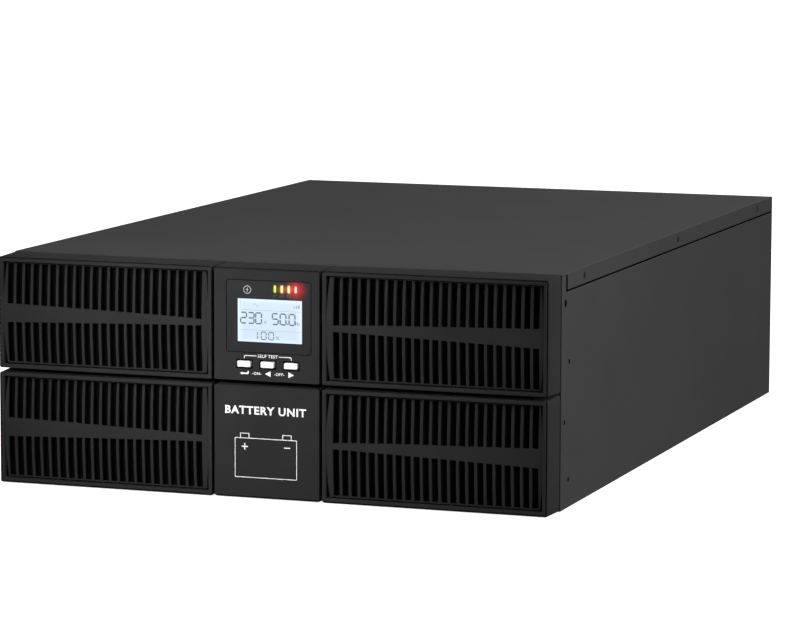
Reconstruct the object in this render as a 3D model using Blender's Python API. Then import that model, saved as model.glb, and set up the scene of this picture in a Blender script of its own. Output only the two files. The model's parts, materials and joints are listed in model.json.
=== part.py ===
"""A rack-mount uninterruptible power supply, four rack units high.

The upper two units hold the power stage behind two louvred grilles and a square display
module. The lower two units hold a sliding tray of sixteen sealed batteries behind a matching
pair of grilles and a square badge panel. The origin is at the bottom centre of the whole
object: +X to the right of its front, +Y towards its back, +Z up.
"""

import math

import bmesh
import bpy
from mathutils import Matrix, Vector

MM = 0.001

# Driving dimensions.
CASE_WIDTH = 438 * MM
CASE_HEIGHT = 175 * MM
BODY_DEPTH = 665 * MM  # front face of the grilles to the back edge of the case
BEZEL_DEPTH = 31 * MM
BUTTON_PROUD = 1.2 * MM  # how far the button caps stand out of the front
REAR_PROUD = 16 * MM  # how far the terminal cover stands out of the back
SHEET = 1.5 * MM  # steel sheet
TRAY_SHEET = 1.2 * MM
GAP = 0.3 * MM  # between pieces that touch
SEAM = 0.6 * MM  # the wider gaps that show as dark lines round the front pieces
LID_SEAM = 1.4 * MM  # the gap under the cover's flanges
NOTCH = 4.2 * MM  # the upright gap at the front end of each flange

ROW_HEIGHT = CASE_HEIGHT / 2
HALF_WIDTH = CASE_WIDTH / 2
OVERALL_DEPTH = BUTTON_PROUD + BODY_DEPTH + REAR_PROUD
Y_FRONT = BUTTON_PROUD - OVERALL_DEPTH / 2
Y_CASE = Y_FRONT + BEZEL_DEPTH
Y_BACK = Y_FRONT + BODY_DEPTH
LOWER_ROW = 0.0
UPPER_ROW = ROW_HEIGHT

# The case: a tray whose walls step in under the flanges of the cover.
FLANGE_HEIGHT = 12.5 * MM
FLANGE_SETBACK = 14.2 * MM  # the cover's flanges start this far behind the case's front edge
LID_BOTTOM = CASE_HEIGHT - SHEET
WALL_TOP = CASE_HEIGHT - FLANGE_HEIGHT - LID_SEAM
WALL_INSIDE = HALF_WIDTH - SHEET
LIP_OUTSIDE = WALL_INSIDE - GAP
LIP_INSIDE = LIP_OUTSIDE - SHEET
PANEL_HALF = LIP_INSIDE - GAP
SHELF_TOP = ROW_HEIGHT + SHEET / 2

# The front pieces taper a little from the case to their faces.
BEZEL_TAPER = 1.5 * MM
BEZEL_WALL = 2.4 * MM
CENTRE_HALF = 43.75 * MM  # inner sides of the grilles
MODULE_FRONT_HALF = 41.9 * MM
MODULE_BACK_HALF = 43.4 * MM
MODULE_FACE = 3 * MM

# Louvres: a shallow ridge of a plate, slotted above and below a tapered centre band.
RIM = 3.2 * MM
SLOTS = 23
SLOT_PITCH = 7 * MM
SLOT_WIDTH = 5 * MM
SLOT_FIRST = 52.2 * MM  # inner edge of the slot nearest the middle of the case
SLOT_END = 37.8 * MM  # height of the outer slot ends above and below the band's middle
BAND_OUTER_HALF = 7.25 * MM
BAND_INNER_HALF = 2.3 * MM
RIDGE_SETBACK = 0.7 * MM
PLATE_SETBACK = 2.9 * MM
PLATE_THICK = 2.2 * MM

# The display module's face.
FACE_SHIFT = 1.65 * MM  # the face's fittings sit a little to the right of its middle
WINDOW = (67.2 * MM, 54 * MM)
WINDOW_HEIGHT = 137.7 * MM
WINDOW_DEPTH = 1.3 * MM
LCD_CENTRE = 2.45 * MM
LCD_VIEW = (51.2 * MM, 32.2 * MM)
LCD_HEIGHT = 134.75 * MM
LED_FIRST = 6.65 * MM
LED_PITCH = 5.5 * MM
LED_HEIGHT = 158.9 * MM
LED_SIZE = (2.2 * MM, 6 * MM)
BUTTON_CENTRE = 1.05 * MM
BUTTON_PITCH = 18.6 * MM
BUTTON_HEIGHT = 101.9 * MM
BUTTON_CAP = (11.3 * MM, 5.2 * MM)
BUTTON_CLEARANCE = 0.35 * MM

# The back.
FAN_SIZE = 80 * MM
FAN_DEPTH = 25 * MM
FAN_BORE = 38 * MM
FAN_CENTRES = (86 * MM, 170 * MM)
FAN_HEIGHT = 130.5 * MM
FAN_SCREW_HALF = 35.75 * MM
BLADES = 7
BLADE_PITCH = 38

# Rear fittings: the left, right, bottom and top of each, in millimetres.
TERMINALS = (-200, -104, 112, 148)
TERMINAL_COVER = (-205, -99, 104, 168)
BREAKER = (-92, -58, 100, 160)
CARD_SLOT = (-50, 36, 102, 130)
SERIAL = (0, 31, 146, 158.5)
USB = (-22, -10, 147, 158)
EPO = (-44, -33, 148, 157)
BATTERY_SOCKET = (-170, -120, 28, 64)
TERMINAL_POLES = 7
CABLE_HOLES = (-178 * MM, -126 * MM)
CABLE_HOLE_RADIUS = 11 * MM
CABLE_HOLE_HEIGHT = 132 * MM
POCKET_PITCH = 22
POCKET_SIZE = (12, 20)
LEVER_RADIUS = 6.5 * MM
LEVER_ON = 25  # degrees above level

# The power stage.
BOARD_TOP = 96 * MM
BOARD_THICK = 2 * MM
BOARD_SIDES = (-196 * MM, 204 * MM)
BOARD_HALF_DEPTH = 250 * MM
POST_INSET = 8 * MM
SINK_SIZE = (50, 62)
SINK_BASE = 6
SINK_FINS = 6
SINK_FIN_THICK = 2
SINK_ENDS = (-190 * MM, 230 * MM)
CAPACITORS = 4
CAPACITOR_RADIUS = 17.5 * MM
CAPACITOR_TALL = 50 * MM
CAPACITOR_PITCH = 42 * MM
CAPACITOR_FIRST = -150 * MM
CHOKE_X = -85 * MM
CHOKE_RADIUS = 25 * MM  # of the ring's middle
CHOKE_THICK = 13 * MM  # half of what is wound round it

# The batteries lie on their sides, terminals towards each other in pairs.
BATTERY_LENGTH = 151 * MM
BATTERY_TALL = 94 * MM
BATTERY_THICK = 65 * MM
TERMINAL_GAP = 8 * MM
BATTERY_SPACE = 3 * MM
BATTERY_ROWS = 4
HANDLE_HALF = 32 * MM
HANDLE_BAR = 5 * MM
HANDLE_TALL = 10 * MM
HANDLE_REACH = 22 * MM

SIDE_HOLES = (  # behind the front of the grilles, height, radius
    (40.5 * MM, 153 * MM, 3 * MM),
    (50.5 * MM, 109 * MM, 2 * MM),
    (39.5 * MM, 65 * MM, 2 * MM),
    (50.5 * MM, 21 * MM, 2 * MM),
)
COVER_SCREWS = (88 * MM, 350 * MM, 611 * MM)  # behind the front of the grilles
COVER_SCREW_HEIGHT = 168.4 * MM


# ---------------------------------------------------------------- building blocks

def material(name, colour, roughness, metallic=0.0, alpha=1.0):
    """A plain Principled material."""
    made = bpy.data.materials.new(name)
    made.use_nodes = True
    shader = made.node_tree.nodes["Principled BSDF"]
    shader.inputs["Base Color"].default_value = (*colour, 1.0)
    shader.inputs["Roughness"].default_value = roughness
    shader.inputs["Metallic"].default_value = metallic
    shader.inputs["Alpha"].default_value = alpha
    made.diffuse_color = (*colour, alpha)
    return made


def add_box(mesh, low, high):
    """Adds a box between two corners."""
    low, high = Vector(low), Vector(high)
    size = high - low
    place = Matrix.Translation((low + high) / 2) @ Matrix.Diagonal((*size, 1.0))
    bmesh.ops.create_cube(mesh, size=1.0, matrix=place)


def add_rod(mesh, start, end, radius, sides=16):
    """Adds a closed cylinder between two points."""
    start, end = Vector(start), Vector(end)
    along = end - start
    place = Matrix.Translation((start + end) / 2) @ along.to_track_quat("Z", "Y").to_matrix().to_4x4()
    bmesh.ops.create_cone(
        mesh, cap_ends=True, segments=sides, radius1=radius, radius2=radius, depth=along.length, matrix=place,
    )


def add_loft(mesh, loops, ring=False):
    """Adds a solid through loops of equal length: capped at both ends, or closed into a ring."""
    rows = [[mesh.verts.new(point) for point in loop] for loop in loops]
    pairs = list(zip(rows, rows[1:]))
    if ring:
        pairs.append((rows[-1], rows[0]))
    else:
        mesh.faces.new(rows[0])
        mesh.faces.new(rows[-1])
    for first, second in pairs:
        count = len(first)
        for i in range(count):
            j = (i + 1) % count
            mesh.faces.new((first[i], first[j], second[j], second[i]))


def add_ring(mesh, centre, outer, inner, y0, y1, sides):
    """Adds a flat ring about the Y axis."""
    def circle(radius, y):
        turns = [math.tau * i / sides for i in range(sides)]
        return [(centre[0] + radius * math.cos(t), y, centre[1] + radius * math.sin(t)) for t in turns]

    add_loft(mesh, [circle(outer, y0), circle(outer, y1), circle(inner, y1), circle(inner, y0)], ring=True)


def rectangle(x0, x1, z0, z1, y):
    """The four corners of an upright rectangle facing the front."""
    return [(x0, y, z0), (x1, y, z0), (x1, y, z1), (x0, y, z1)]


def piece(name, mesh, finish, origin=(0, 0, 0), parent=None, smooth=False):
    """Makes the named object from a mesh in world places, with its own origin."""
    bmesh.ops.recalc_face_normals(mesh, faces=mesh.faces)
    mesh.transform(Matrix.Translation(-Vector(origin)))
    data = bpy.data.meshes.new(name)
    mesh.to_mesh(data)
    mesh.free()
    obj = bpy.data.objects.new(name, data)
    bpy.context.scene.collection.objects.link(obj)
    obj.location = origin
    if finish:
        data.materials.append(finish)
    if parent:
        obj.parent = parent
        obj.location = Vector(origin) - parent.location
    if smooth:
        data.shade_smooth()
        data.set_sharp_from_angle(angle=math.radians(35))
    return obj


def group(name, origin):
    """An empty that carries a moving sub-assembly, placed on its joint's axis."""
    empty = bpy.data.objects.new(name + "_carrier", None)
    bpy.context.scene.collection.objects.link(empty)
    empty.location = origin
    return empty


def helper(body, word, mesh):
    """A hidden object that a Boolean of the body reads, placed as the body is."""
    tool = piece(f"{body.name}_{word}", mesh, None)
    tool.hide_render = True
    tool.display_type = "WIRE"
    return tool


def boolean(body, tool, operation):
    """Puts an exact Boolean on the body."""
    step = body.modifiers.new(tool.name, "BOOLEAN")
    step.operation = operation
    step.object = tool
    step.solver = "EXACT"
    step.use_self = operation == "UNION"


def cut(body, mesh, word="cutter"):
    """Takes the shapes in the mesh away from the body."""
    boolean(body, helper(body, word, mesh), "DIFFERENCE")


def join(body, mesh, word="addition"):
    """Joins the shapes in the mesh to the body as one solid."""
    boolean(body, helper(body, word, mesh), "UNION")


def box_piece(name, low, high, finish, **placing):
    """An object that is one plain box."""
    mesh = bmesh.new()
    add_box(mesh, low, high)
    return piece(name, mesh, finish, **placing)


# ---------------------------------------------------------------- the case

def chassis_tray(finish):
    """The folded steel tray: bottom, side walls and the stepped lips under the cover."""
    section = [
        (-HALF_WIDTH, 0), (HALF_WIDTH, 0), (HALF_WIDTH, WALL_TOP), (LIP_OUTSIDE, WALL_TOP),
        (LIP_OUTSIDE, LID_BOTTOM - GAP), (LIP_INSIDE, LID_BOTTOM - GAP),
        (LIP_INSIDE, WALL_TOP - 2 * SHEET), (WALL_INSIDE, WALL_TOP - 3 * SHEET), (WALL_INSIDE, SHEET),
    ]
    section += [(-x, z) for x, z in reversed(section[2:])]
    mesh = bmesh.new()
    add_loft(mesh, [[(x, y, z) for x, z in section] for y in (Y_CASE, Y_BACK)])
    tray = piece("chassis_tray", mesh, finish)

    corners = bmesh.new()
    for side in (-1, 1):
        ends = sorted((side * (LIP_OUTSIDE - SHEET / 2), side * HALF_WIDTH))
        add_box(corners, (ends[0], Y_CASE, WALL_TOP - 2 * SHEET),
                (ends[1], Y_CASE + FLANGE_SETBACK - NOTCH, LID_BOTTOM - GAP))
    join(tray, corners)

    holes = bmesh.new()
    for side in (-1, 1):
        for back, height, radius in SIDE_HOLES:
            y = Y_FRONT + back
            add_rod(holes, (side * (WALL_INSIDE - 2 * SHEET), y, height),
                    (side * (HALF_WIDTH + SHEET), y, height), radius, sides=10)
        for back in COVER_SCREWS:
            y = Y_FRONT + back
            add_rod(holes, (side * (LIP_INSIDE - SHEET), y, COVER_SCREW_HEIGHT),
                    (side * (LIP_OUTSIDE + SHEET), y, COVER_SCREW_HEIGHT), 1.8 * MM, sides=8)
    cut(tray, holes)


def top_cover(finish):
    """The lid, with a flange down each side that lies flush with the walls below it."""
    section = [
        (-HALF_WIDTH, CASE_HEIGHT - FLANGE_HEIGHT), (-HALF_WIDTH, CASE_HEIGHT),
        (HALF_WIDTH, CASE_HEIGHT), (HALF_WIDTH, CASE_HEIGHT - FLANGE_HEIGHT),
        (WALL_INSIDE, CASE_HEIGHT - FLANGE_HEIGHT), (WALL_INSIDE, LID_BOTTOM),
        (-WALL_INSIDE, LID_BOTTOM), (-WALL_INSIDE, CASE_HEIGHT - FLANGE_HEIGHT),
    ]
    mesh = bmesh.new()
    add_loft(mesh, [[(x, y, z) for x, z in section] for y in (Y_CASE, Y_BACK)])
    cover = piece("top_cover", mesh, finish)

    cuts = bmesh.new()
    for side in (-1, 1):
        ends = sorted((side * (WALL_INSIDE - SHEET), side * (HALF_WIDTH + SHEET)))
        add_box(cuts, (ends[0], Y_CASE - SHEET, WALL_TOP - SHEET),
                (ends[1], Y_CASE + FLANGE_SETBACK, LID_BOTTOM))
        for back in COVER_SCREWS:
            y = Y_FRONT + back
            add_rod(cuts, (side * (WALL_INSIDE - SHEET), y, COVER_SCREW_HEIGHT),
                    (side * (HALF_WIDTH + SHEET), y, COVER_SCREW_HEIGHT), 2.9 * MM, sides=12)
    cut(cover, cuts)


def cover_screws(finish):
    """Six countersunk screws, flush with the flanges of the cover."""
    number = 0
    for side in (-1, 1):
        for back in COVER_SCREWS:
            number += 1
            y = Y_FRONT + back
            mesh = bmesh.new()
            profile = ((211, 0.2), (211, 1.4), (217.4, 1.4), (217.6, 2.6), (218.9, 2.6), (218.9, 0.2))
            loops = []
            for x, radius in profile:
                turns = [math.tau * i / 10 for i in range(10)]
                loops.append([
                    (side * x * MM, y + radius * MM * math.cos(t),
                     COVER_SCREW_HEIGHT + radius * MM * math.sin(t)) for t in turns
                ])
            add_loft(mesh, loops)
            piece(f"cover_screw_{number}", mesh, finish, smooth=True,
                  origin=(side * HALF_WIDTH, y, COVER_SCREW_HEIGHT))


def mid_shelf(finish):
    """The shelf between the power stage and the battery bay, with upturned edges."""
    edge = WALL_INSIDE - GAP
    low, fold = SHELF_TOP - SHEET, SHELF_TOP + 8 * MM
    section = [
        (-edge, low), (edge, low), (edge, fold), (edge - SHEET, fold), (edge - SHEET, SHELF_TOP),
        (-edge + SHEET, SHELF_TOP), (-edge + SHEET, fold), (-edge, fold),
    ]
    mesh = bmesh.new()
    add_loft(mesh, [[(x, y, z) for x, z in section] for y in (Y_CASE + SHEET + GAP, Y_BACK - SHEET - GAP)])
    piece("mid_shelf", mesh, finish)


def window_grid(mesh, x0, x1, z0, z1, columns, rows, bar, y0, y1):
    """Adds a grid of rectangular cutters, a bar apart."""
    wide = (x1 - x0 - bar * (columns - 1)) / columns
    tall = (z1 - z0 - bar * (rows - 1)) / rows
    for i in range(columns):
        for j in range(rows):
            x = x0 + i * (wide + bar)
            z = z0 + j * (tall + bar)
            add_box(mesh, (x, y0, z), (x + wide, y1, z + tall))


def front_bulkhead(finish):
    """The steel plate behind the upper grilles, with intake windows and a cable hole."""
    low = SHELF_TOP + 8 * MM + GAP
    bulkhead = box_piece("front_bulkhead", (-PANEL_HALF, Y_CASE, SHELF_TOP - SHEET),
                         (PANEL_HALF, Y_CASE + SHEET, LID_BOTTOM - GAP), finish)
    cuts = bmesh.new()
    reach = (Y_CASE - SHEET, Y_CASE + 2 * SHEET)
    for side in (-1, 1):
        x0, x1 = sorted((side * 52 * MM, side * 208 * MM))
        window_grid(cuts, x0, x1, low, 168 * MM, 2, 1, 8 * MM, *reach)
    add_box(cuts, (-18 * MM, reach[0], 120 * MM), (18 * MM, reach[1], 145 * MM))
    cut(bulkhead, cuts)


# ---------------------------------------------------------------- the front

def band_half(share):
    """Half the height of the grille's centre band, from its outer end (0) to its inner end (1)."""
    return BAND_INNER_HALF + (BAND_OUTER_HALF - BAND_INNER_HALF) * (1 - share) ** 1.4


def grille(name, side, row, finish, parent=None):
    """One louvred front: a tapered frame around a ridge-shaped plate with two rows of slots."""
    middle = row + ROW_HEIGHT / 2
    back = Y_CASE - SEAM

    def outline(inner_x, outer_x, tall_half, y):
        x0, x1 = sorted((side * inner_x, side * outer_x))
        return rectangle(x0, x1, middle - tall_half, middle + tall_half, y)

    front_half = ROW_HEIGHT / 2 - BEZEL_TAPER
    back_half = ROW_HEIGHT / 2 - GAP
    front_out = HALF_WIDTH - BEZEL_TAPER
    mesh = bmesh.new()
    add_loft(mesh, [
        outline(CENTRE_HALF, front_out, front_half, Y_FRONT),
        outline(CENTRE_HALF, HALF_WIDTH, back_half, back),
        outline(CENTRE_HALF + BEZEL_WALL, HALF_WIDTH - BEZEL_WALL, back_half - BEZEL_WALL, back),
        outline(CENTRE_HALF + RIM, front_out - RIM, front_half - RIM, Y_FRONT),
    ], ring=True)
    frame = piece(name, mesh, finish, parent=parent,
                  origin=(side * (CENTRE_HALF + HALF_WIDTH) / 2, Y_CASE, middle))

    plate = bmesh.new()
    x0, x1 = sorted((side * (CENTRE_HALF + RIM / 2), side * (front_out - RIM / 2)))
    reach = front_half - RIM / 2
    ridge, edge = Y_FRONT + RIDGE_SETBACK, Y_FRONT + PLATE_SETBACK
    profile = [
        (edge, middle - reach), (ridge, middle - BAND_OUTER_HALF), (ridge, middle + BAND_OUTER_HALF),
        (edge, middle + reach), (edge + PLATE_THICK, middle + reach),
        (ridge + PLATE_THICK, middle), (edge + PLATE_THICK, middle - reach),
    ]
    add_loft(plate, [[(x, y, z) for y, z in profile] for x in (x0, x1)])
    join(frame, plate, "plate")

    slots = bmesh.new()
    for i in range(SLOTS):
        share = 1 - i / (SLOTS - 1)
        inner = SLOT_FIRST + i * SLOT_PITCH
        x0, x1 = sorted((side * inner, side * (inner + SLOT_WIDTH)))
        near = band_half(share)
        for z0, z1 in ((near, SLOT_END), (-SLOT_END, -near)):
            add_box(slots, (x0, Y_FRONT - RIM, middle + z0), (x1, edge + 3 * PLATE_THICK, middle + z1))
    cut(frame, slots, "slots")
    return frame


def module_shell(name, row, finish, parent):
    """A square front box, open at the back, its sides tapering towards its face."""
    middle = row + ROW_HEIGHT / 2

    def square(half, y):
        return rectangle(-half, half, middle - half, middle + half, y)

    mesh = bmesh.new()
    back = Y_CASE - SEAM
    add_loft(mesh, [square(MODULE_FRONT_HALF, Y_FRONT), square(MODULE_BACK_HALF, back)])
    shell = piece(name, mesh, finish, parent=parent, origin=(0, Y_CASE, middle))
    hollow = bmesh.new()
    add_loft(hollow, [
        square(MODULE_FRONT_HALF - BEZEL_WALL, Y_FRONT + MODULE_FACE),
        square(MODULE_BACK_HALF - BEZEL_WALL, back + SHEET),
    ])
    cut(shell, hollow, "hollow")
    return shell


def face_box(mesh, x, z, size, y0, y1, grow=0.0):
    """Adds a box on the display face, centred at x and z."""
    half_x, half_z = size[0] / 2 + grow, size[1] / 2 + grow
    add_box(mesh, (x - half_x, y0, z - half_z), (x + half_x, y1, z + half_z))


def button_places():
    """The x of each button."""
    return [BUTTON_CENTRE + i * BUTTON_PITCH for i in (-1, 0, 1)]


def led_places():
    """The x of each indicator."""
    return [LED_FIRST + i * LED_PITCH for i in range(4)]


def display_module(finishes):
    """The display: housing, window, liquid crystal panel, light pipes, board, back and buttons."""
    middle = UPPER_ROW + ROW_HEIGHT / 2
    carrier = group("display_module", (0, Y_CASE, middle))
    shell = module_shell("display_housing", UPPER_ROW, finishes["plastic"], carrier)

    cuts = bmesh.new()
    through = (Y_FRONT - SHEET, Y_FRONT + MODULE_FACE + SHEET)
    face_box(cuts, LCD_CENTRE, LCD_HEIGHT, LCD_VIEW, *through)
    for x in led_places():
        face_box(cuts, x, LED_HEIGHT, LED_SIZE, *through, grow=GAP)
    for x in button_places():
        face_box(cuts, x, BUTTON_HEIGHT, BUTTON_CAP, *through, grow=BUTTON_CLEARANCE)
    cut(shell, cuts, "openings")
    recess = bmesh.new()
    face_box(recess, FACE_SHIFT, WINDOW_HEIGHT, WINDOW, Y_FRONT - SHEET, Y_FRONT + WINDOW_DEPTH)
    cut(shell, recess, "recess")

    mesh = bmesh.new()
    face_box(mesh, FACE_SHIFT, WINDOW_HEIGHT, WINDOW,
             Y_FRONT + 0.2 * MM, Y_FRONT + WINDOW_DEPTH - GAP, grow=-GAP)
    piece("display_window", mesh, finishes["window"], parent=carrier, origin=(0, Y_CASE, middle))

    mesh = bmesh.new()
    behind = Y_FRONT + MODULE_FACE + GAP
    face_box(mesh, LCD_CENTRE, LCD_HEIGHT, LCD_VIEW, behind, behind + 3.5 * MM, grow=2.2 * MM)
    piece("lcd_panel", mesh, finishes["lcd"], parent=carrier, origin=(0, Y_CASE, middle))

    mesh = bmesh.new()
    leds = led_places()
    add_box(mesh, (leds[0] - 2 * MM, behind, LED_HEIGHT - 3 * MM),
            (leds[-1] + 2 * MM, behind + 2.5 * MM, LED_HEIGHT + 3 * MM))
    pipes = piece("light_pipes", mesh, finishes["clear"], parent=carrier, origin=(0, Y_CASE, middle))
    prongs = bmesh.new()
    for x in leds:
        face_box(prongs, x, LED_HEIGHT, LED_SIZE, Y_FRONT + WINDOW_DEPTH + GAP, behind + MM)
        face_box(prongs, x, LED_HEIGHT, LED_SIZE, behind + MM, behind + 9 * MM, grow=-0.4 * MM)
    join(pipes, prongs, "prongs")

    board_y = Y_FRONT + 14 * MM
    mesh = bmesh.new()
    half = MODULE_FRONT_HALF - BEZEL_WALL - 1.5 * MM
    add_box(mesh, (-half, board_y, middle - half), (half, board_y + 1.6 * MM, middle + half))
    board = piece("display_board", mesh, finishes["board"], parent=carrier, origin=(0, Y_CASE, middle))
    parts = bmesh.new()
    add_box(parts, (-14 * MM, board_y + MM, middle - 8 * MM), (14 * MM, board_y + 7 * MM, middle + 2 * MM))
    add_box(parts, (18 * MM, board_y + MM, middle + 10 * MM), (30 * MM, board_y + 4 * MM, middle + 22 * MM))
    join(board, parts, "parts")

    mesh = bmesh.new()
    add_box(mesh, (-half, Y_CASE - 4 * MM, middle - half), (half, Y_CASE - 2 * MM, middle + half))
    back = piece("display_back", mesh, finishes["plastic"], parent=carrier, origin=(0, Y_CASE, middle))
    cable = bmesh.new()
    add_box(cable, (-16 * MM, Y_CASE - 6 * MM, middle - 10 * MM), (16 * MM, Y_CASE, middle + 4 * MM))
    cut(back, cable, "cable_hole")

    for name, x in zip(("left_button", "middle_button", "right_button"), button_places()):
        mesh = bmesh.new()
        face_box(mesh, x, BUTTON_HEIGHT, BUTTON_CAP, Y_FRONT - BUTTON_PROUD, behind + 0.5 * MM)
        button = piece(name, mesh, finishes["white"], parent=carrier, origin=(x, Y_FRONT, BUTTON_HEIGHT))
        foot = bmesh.new()
        face_box(foot, x, BUTTON_HEIGHT, BUTTON_CAP, behind, behind + 1.2 * MM, grow=1.2 * MM)
        face_box(foot, x, BUTTON_HEIGHT, (4 * MM, 4 * MM), behind + 0.6 * MM, board_y - 1.4 * MM)
        join(button, foot, "foot")


# ---------------------------------------------------------------- the back

def grown(place, sideways, upwards):
    """A rear fitting's outline, grown on each side, or shrunk where the amounts are negative."""
    x0, x1, z0, z1 = place
    return (x0 - sideways, x1 + sideways, z0 - upwards, z1 + upwards)


def rear_panel(finish):
    """The rear plate, cut for the fans, sockets, breaker and terminals, with battery vents."""
    panel = box_piece("rear_panel", (-PANEL_HALF, Y_BACK - SHEET, SHEET + GAP),
                      (PANEL_HALF, Y_BACK, LID_BOTTOM - GAP), finish)
    reach = (Y_BACK - 2 * SHEET, Y_BACK + SHEET)
    cuts = bmesh.new()
    for x in FAN_CENTRES:
        add_rod(cuts, (x, reach[0], FAN_HEIGHT), (x, reach[1], FAN_HEIGHT), FAN_BORE, sides=24)
    for place, sideways, upwards in (
        (TERMINALS, 2, 2), (BREAKER, 1, 1), (CARD_SLOT, -4, -3), (SERIAL, -5, -1.5),
        (USB, 0.5, 0.5), (EPO, 0.5, 0.5), (BATTERY_SOCKET, 1, 1),
    ):
        x0, x1, z0, z1 = (value * MM for value in grown(place, sideways, upwards))
        add_box(cuts, (x0, reach[0], z0), (x1, reach[1], z1))
    window_grid(cuts, 20 * MM, 200 * MM, 20 * MM, 68 * MM, 12, 1, 8 * MM, *reach)
    cut(panel, cuts)


def rear_box(name, place, y0, y1, finish, **placing):
    """A box on the rear panel, from y0 to y1 past the panel's outer face."""
    x0, x1, z0, z1 = (value * MM for value in place)
    return box_piece(name, (x0, Y_BACK + y0, z0), (x1, Y_BACK + y1, z1), finish, **placing)


def rear_mesh(place, y0, y1):
    """A mesh with one box on the rear panel."""
    mesh = bmesh.new()
    x0, x1, z0, z1 = (value * MM for value in place)
    add_box(mesh, (x0, Y_BACK + y0, z0), (x1, Y_BACK + y1, z1))
    return mesh


def turned_copies(count, step, first, centre, low, high, pitch=0):
    """Boxes turned about the Y axis through centre, each also pitched about its own length."""
    mesh = bmesh.new()
    for i in range(count):
        before = len(mesh.verts)
        add_box(mesh, low, high)
        mesh.verts.ensure_lookup_table()
        turn = Matrix.Rotation(math.radians(first + i * step), 4, "Y")
        place = Matrix.Translation(centre) @ turn @ Matrix.Rotation(math.radians(pitch), 4, "X")
        bmesh.ops.transform(mesh, matrix=place, verts=mesh.verts[before:])
    return mesh


def fan(number, x, finishes):
    """One exhaust fan: square frame, rotor and finger guard."""
    outlet = Y_BACK - SHEET - GAP
    inlet = outlet - FAN_DEPTH
    half = FAN_SIZE / 2
    frame = box_piece(f"fan_frame_{number}", (x - half, inlet, FAN_HEIGHT - half),
                      (x + half, outlet, FAN_HEIGHT + half), finishes["fan"])
    bore = bmesh.new()
    add_rod(bore, (x, inlet - MM, FAN_HEIGHT), (x, outlet + MM, FAN_HEIGHT), FAN_BORE, sides=24)
    for sx in (-1, 1):
        for sz in (-1, 1):
            hole_x, hole_z = x + sx * FAN_SCREW_HALF, FAN_HEIGHT + sz * FAN_SCREW_HALF
            add_rod(bore, (hole_x, inlet - MM, hole_z), (hole_x, outlet + MM, hole_z), 2.2 * MM, sides=8)
    cut(frame, bore, "bore")
    seat = bmesh.new()
    add_rod(seat, (x, outlet - 3 * MM, FAN_HEIGHT), (x, outlet, FAN_HEIGHT), 16 * MM, sides=16)
    join(frame, seat, "seat")
    struts = turned_copies(
        4, 90, 20, (x, 0, FAN_HEIGHT),
        (13 * MM, outlet - 2.9 * MM, -1.6 * MM), (39 * MM, outlet - 0.1 * MM, 1.6 * MM))
    join(frame, struts, "struts")

    hub = bmesh.new()
    rotor_end = outlet - 3.6 * MM
    add_rod(hub, (x, inlet + MM, FAN_HEIGHT), (x, rotor_end, FAN_HEIGHT), 15 * MM, sides=20)
    rotor = piece(f"fan_rotor_{number}", hub, finishes["fan"], origin=(x, inlet + FAN_DEPTH / 2, FAN_HEIGHT))
    blades = turned_copies(
        BLADES, 360 / BLADES, 0, (x, (inlet + rotor_end) / 2, FAN_HEIGHT),
        (13 * MM, -11 * MM, -0.7 * MM), (36 * MM, 11 * MM, 0.7 * MM), pitch=BLADE_PITCH)
    join(rotor, blades, "blades")

    near, far = Y_BACK + GAP, Y_BACK + GAP + 1.8 * MM
    mesh = bmesh.new()
    add_ring(mesh, (x, FAN_HEIGHT), 37.5 * MM, 35.9 * MM, near, far, 16)
    guard = piece(f"fan_guard_{number}", mesh, finishes["wire"], origin=(x, Y_BACK, FAN_HEIGHT))
    inner = bmesh.new()
    for radius in (25 * MM, 13 * MM):
        add_ring(inner, (x, FAN_HEIGHT), radius, radius - 1.6 * MM, near, far, 12)
    bars = turned_copies(
        2, 90, 45, (x, 0, FAN_HEIGHT), (-50 * MM, near + 0.2 * MM, -MM), (50 * MM, far - 0.2 * MM, MM))
    join(guard, bars, "bars")
    join(guard, inner, "rings")


def terminals(finishes):
    """The screw terminal block and its hooded cover with two cable holes."""
    block = rear_box("terminal_block", TERMINALS, -28 * MM, 2 * MM, finishes["black"])
    ribs = bmesh.new()
    x0, x1, z0, z1 = grown(TERMINALS, -1, 0)
    for i in range(TERMINAL_POLES + 1):
        x = x0 + (x1 - x0) * i / TERMINAL_POLES
        add_box(ribs, ((x - 1) * MM, Y_BACK, z0 * MM), ((x + 1) * MM, Y_BACK + 7 * MM, z1 * MM))
    join(block, ribs, "ribs")

    cover = rear_box("terminal_cover", TERMINAL_COVER, GAP, REAR_PROUD, finishes["steel"])
    wall = SHEET / MM
    cut(cover, rear_mesh(grown(TERMINAL_COVER, -wall, -wall), -MM, REAR_PROUD - SHEET), "hollow")
    holes = bmesh.new()
    for x in CABLE_HOLES:
        add_rod(holes, (x, Y_BACK + REAR_PROUD / 2, CABLE_HOLE_HEIGHT),
                (x, Y_BACK + REAR_PROUD + MM, CABLE_HOLE_HEIGHT), CABLE_HOLE_RADIUS)
    cut(cover, holes, "cable_holes")


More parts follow.
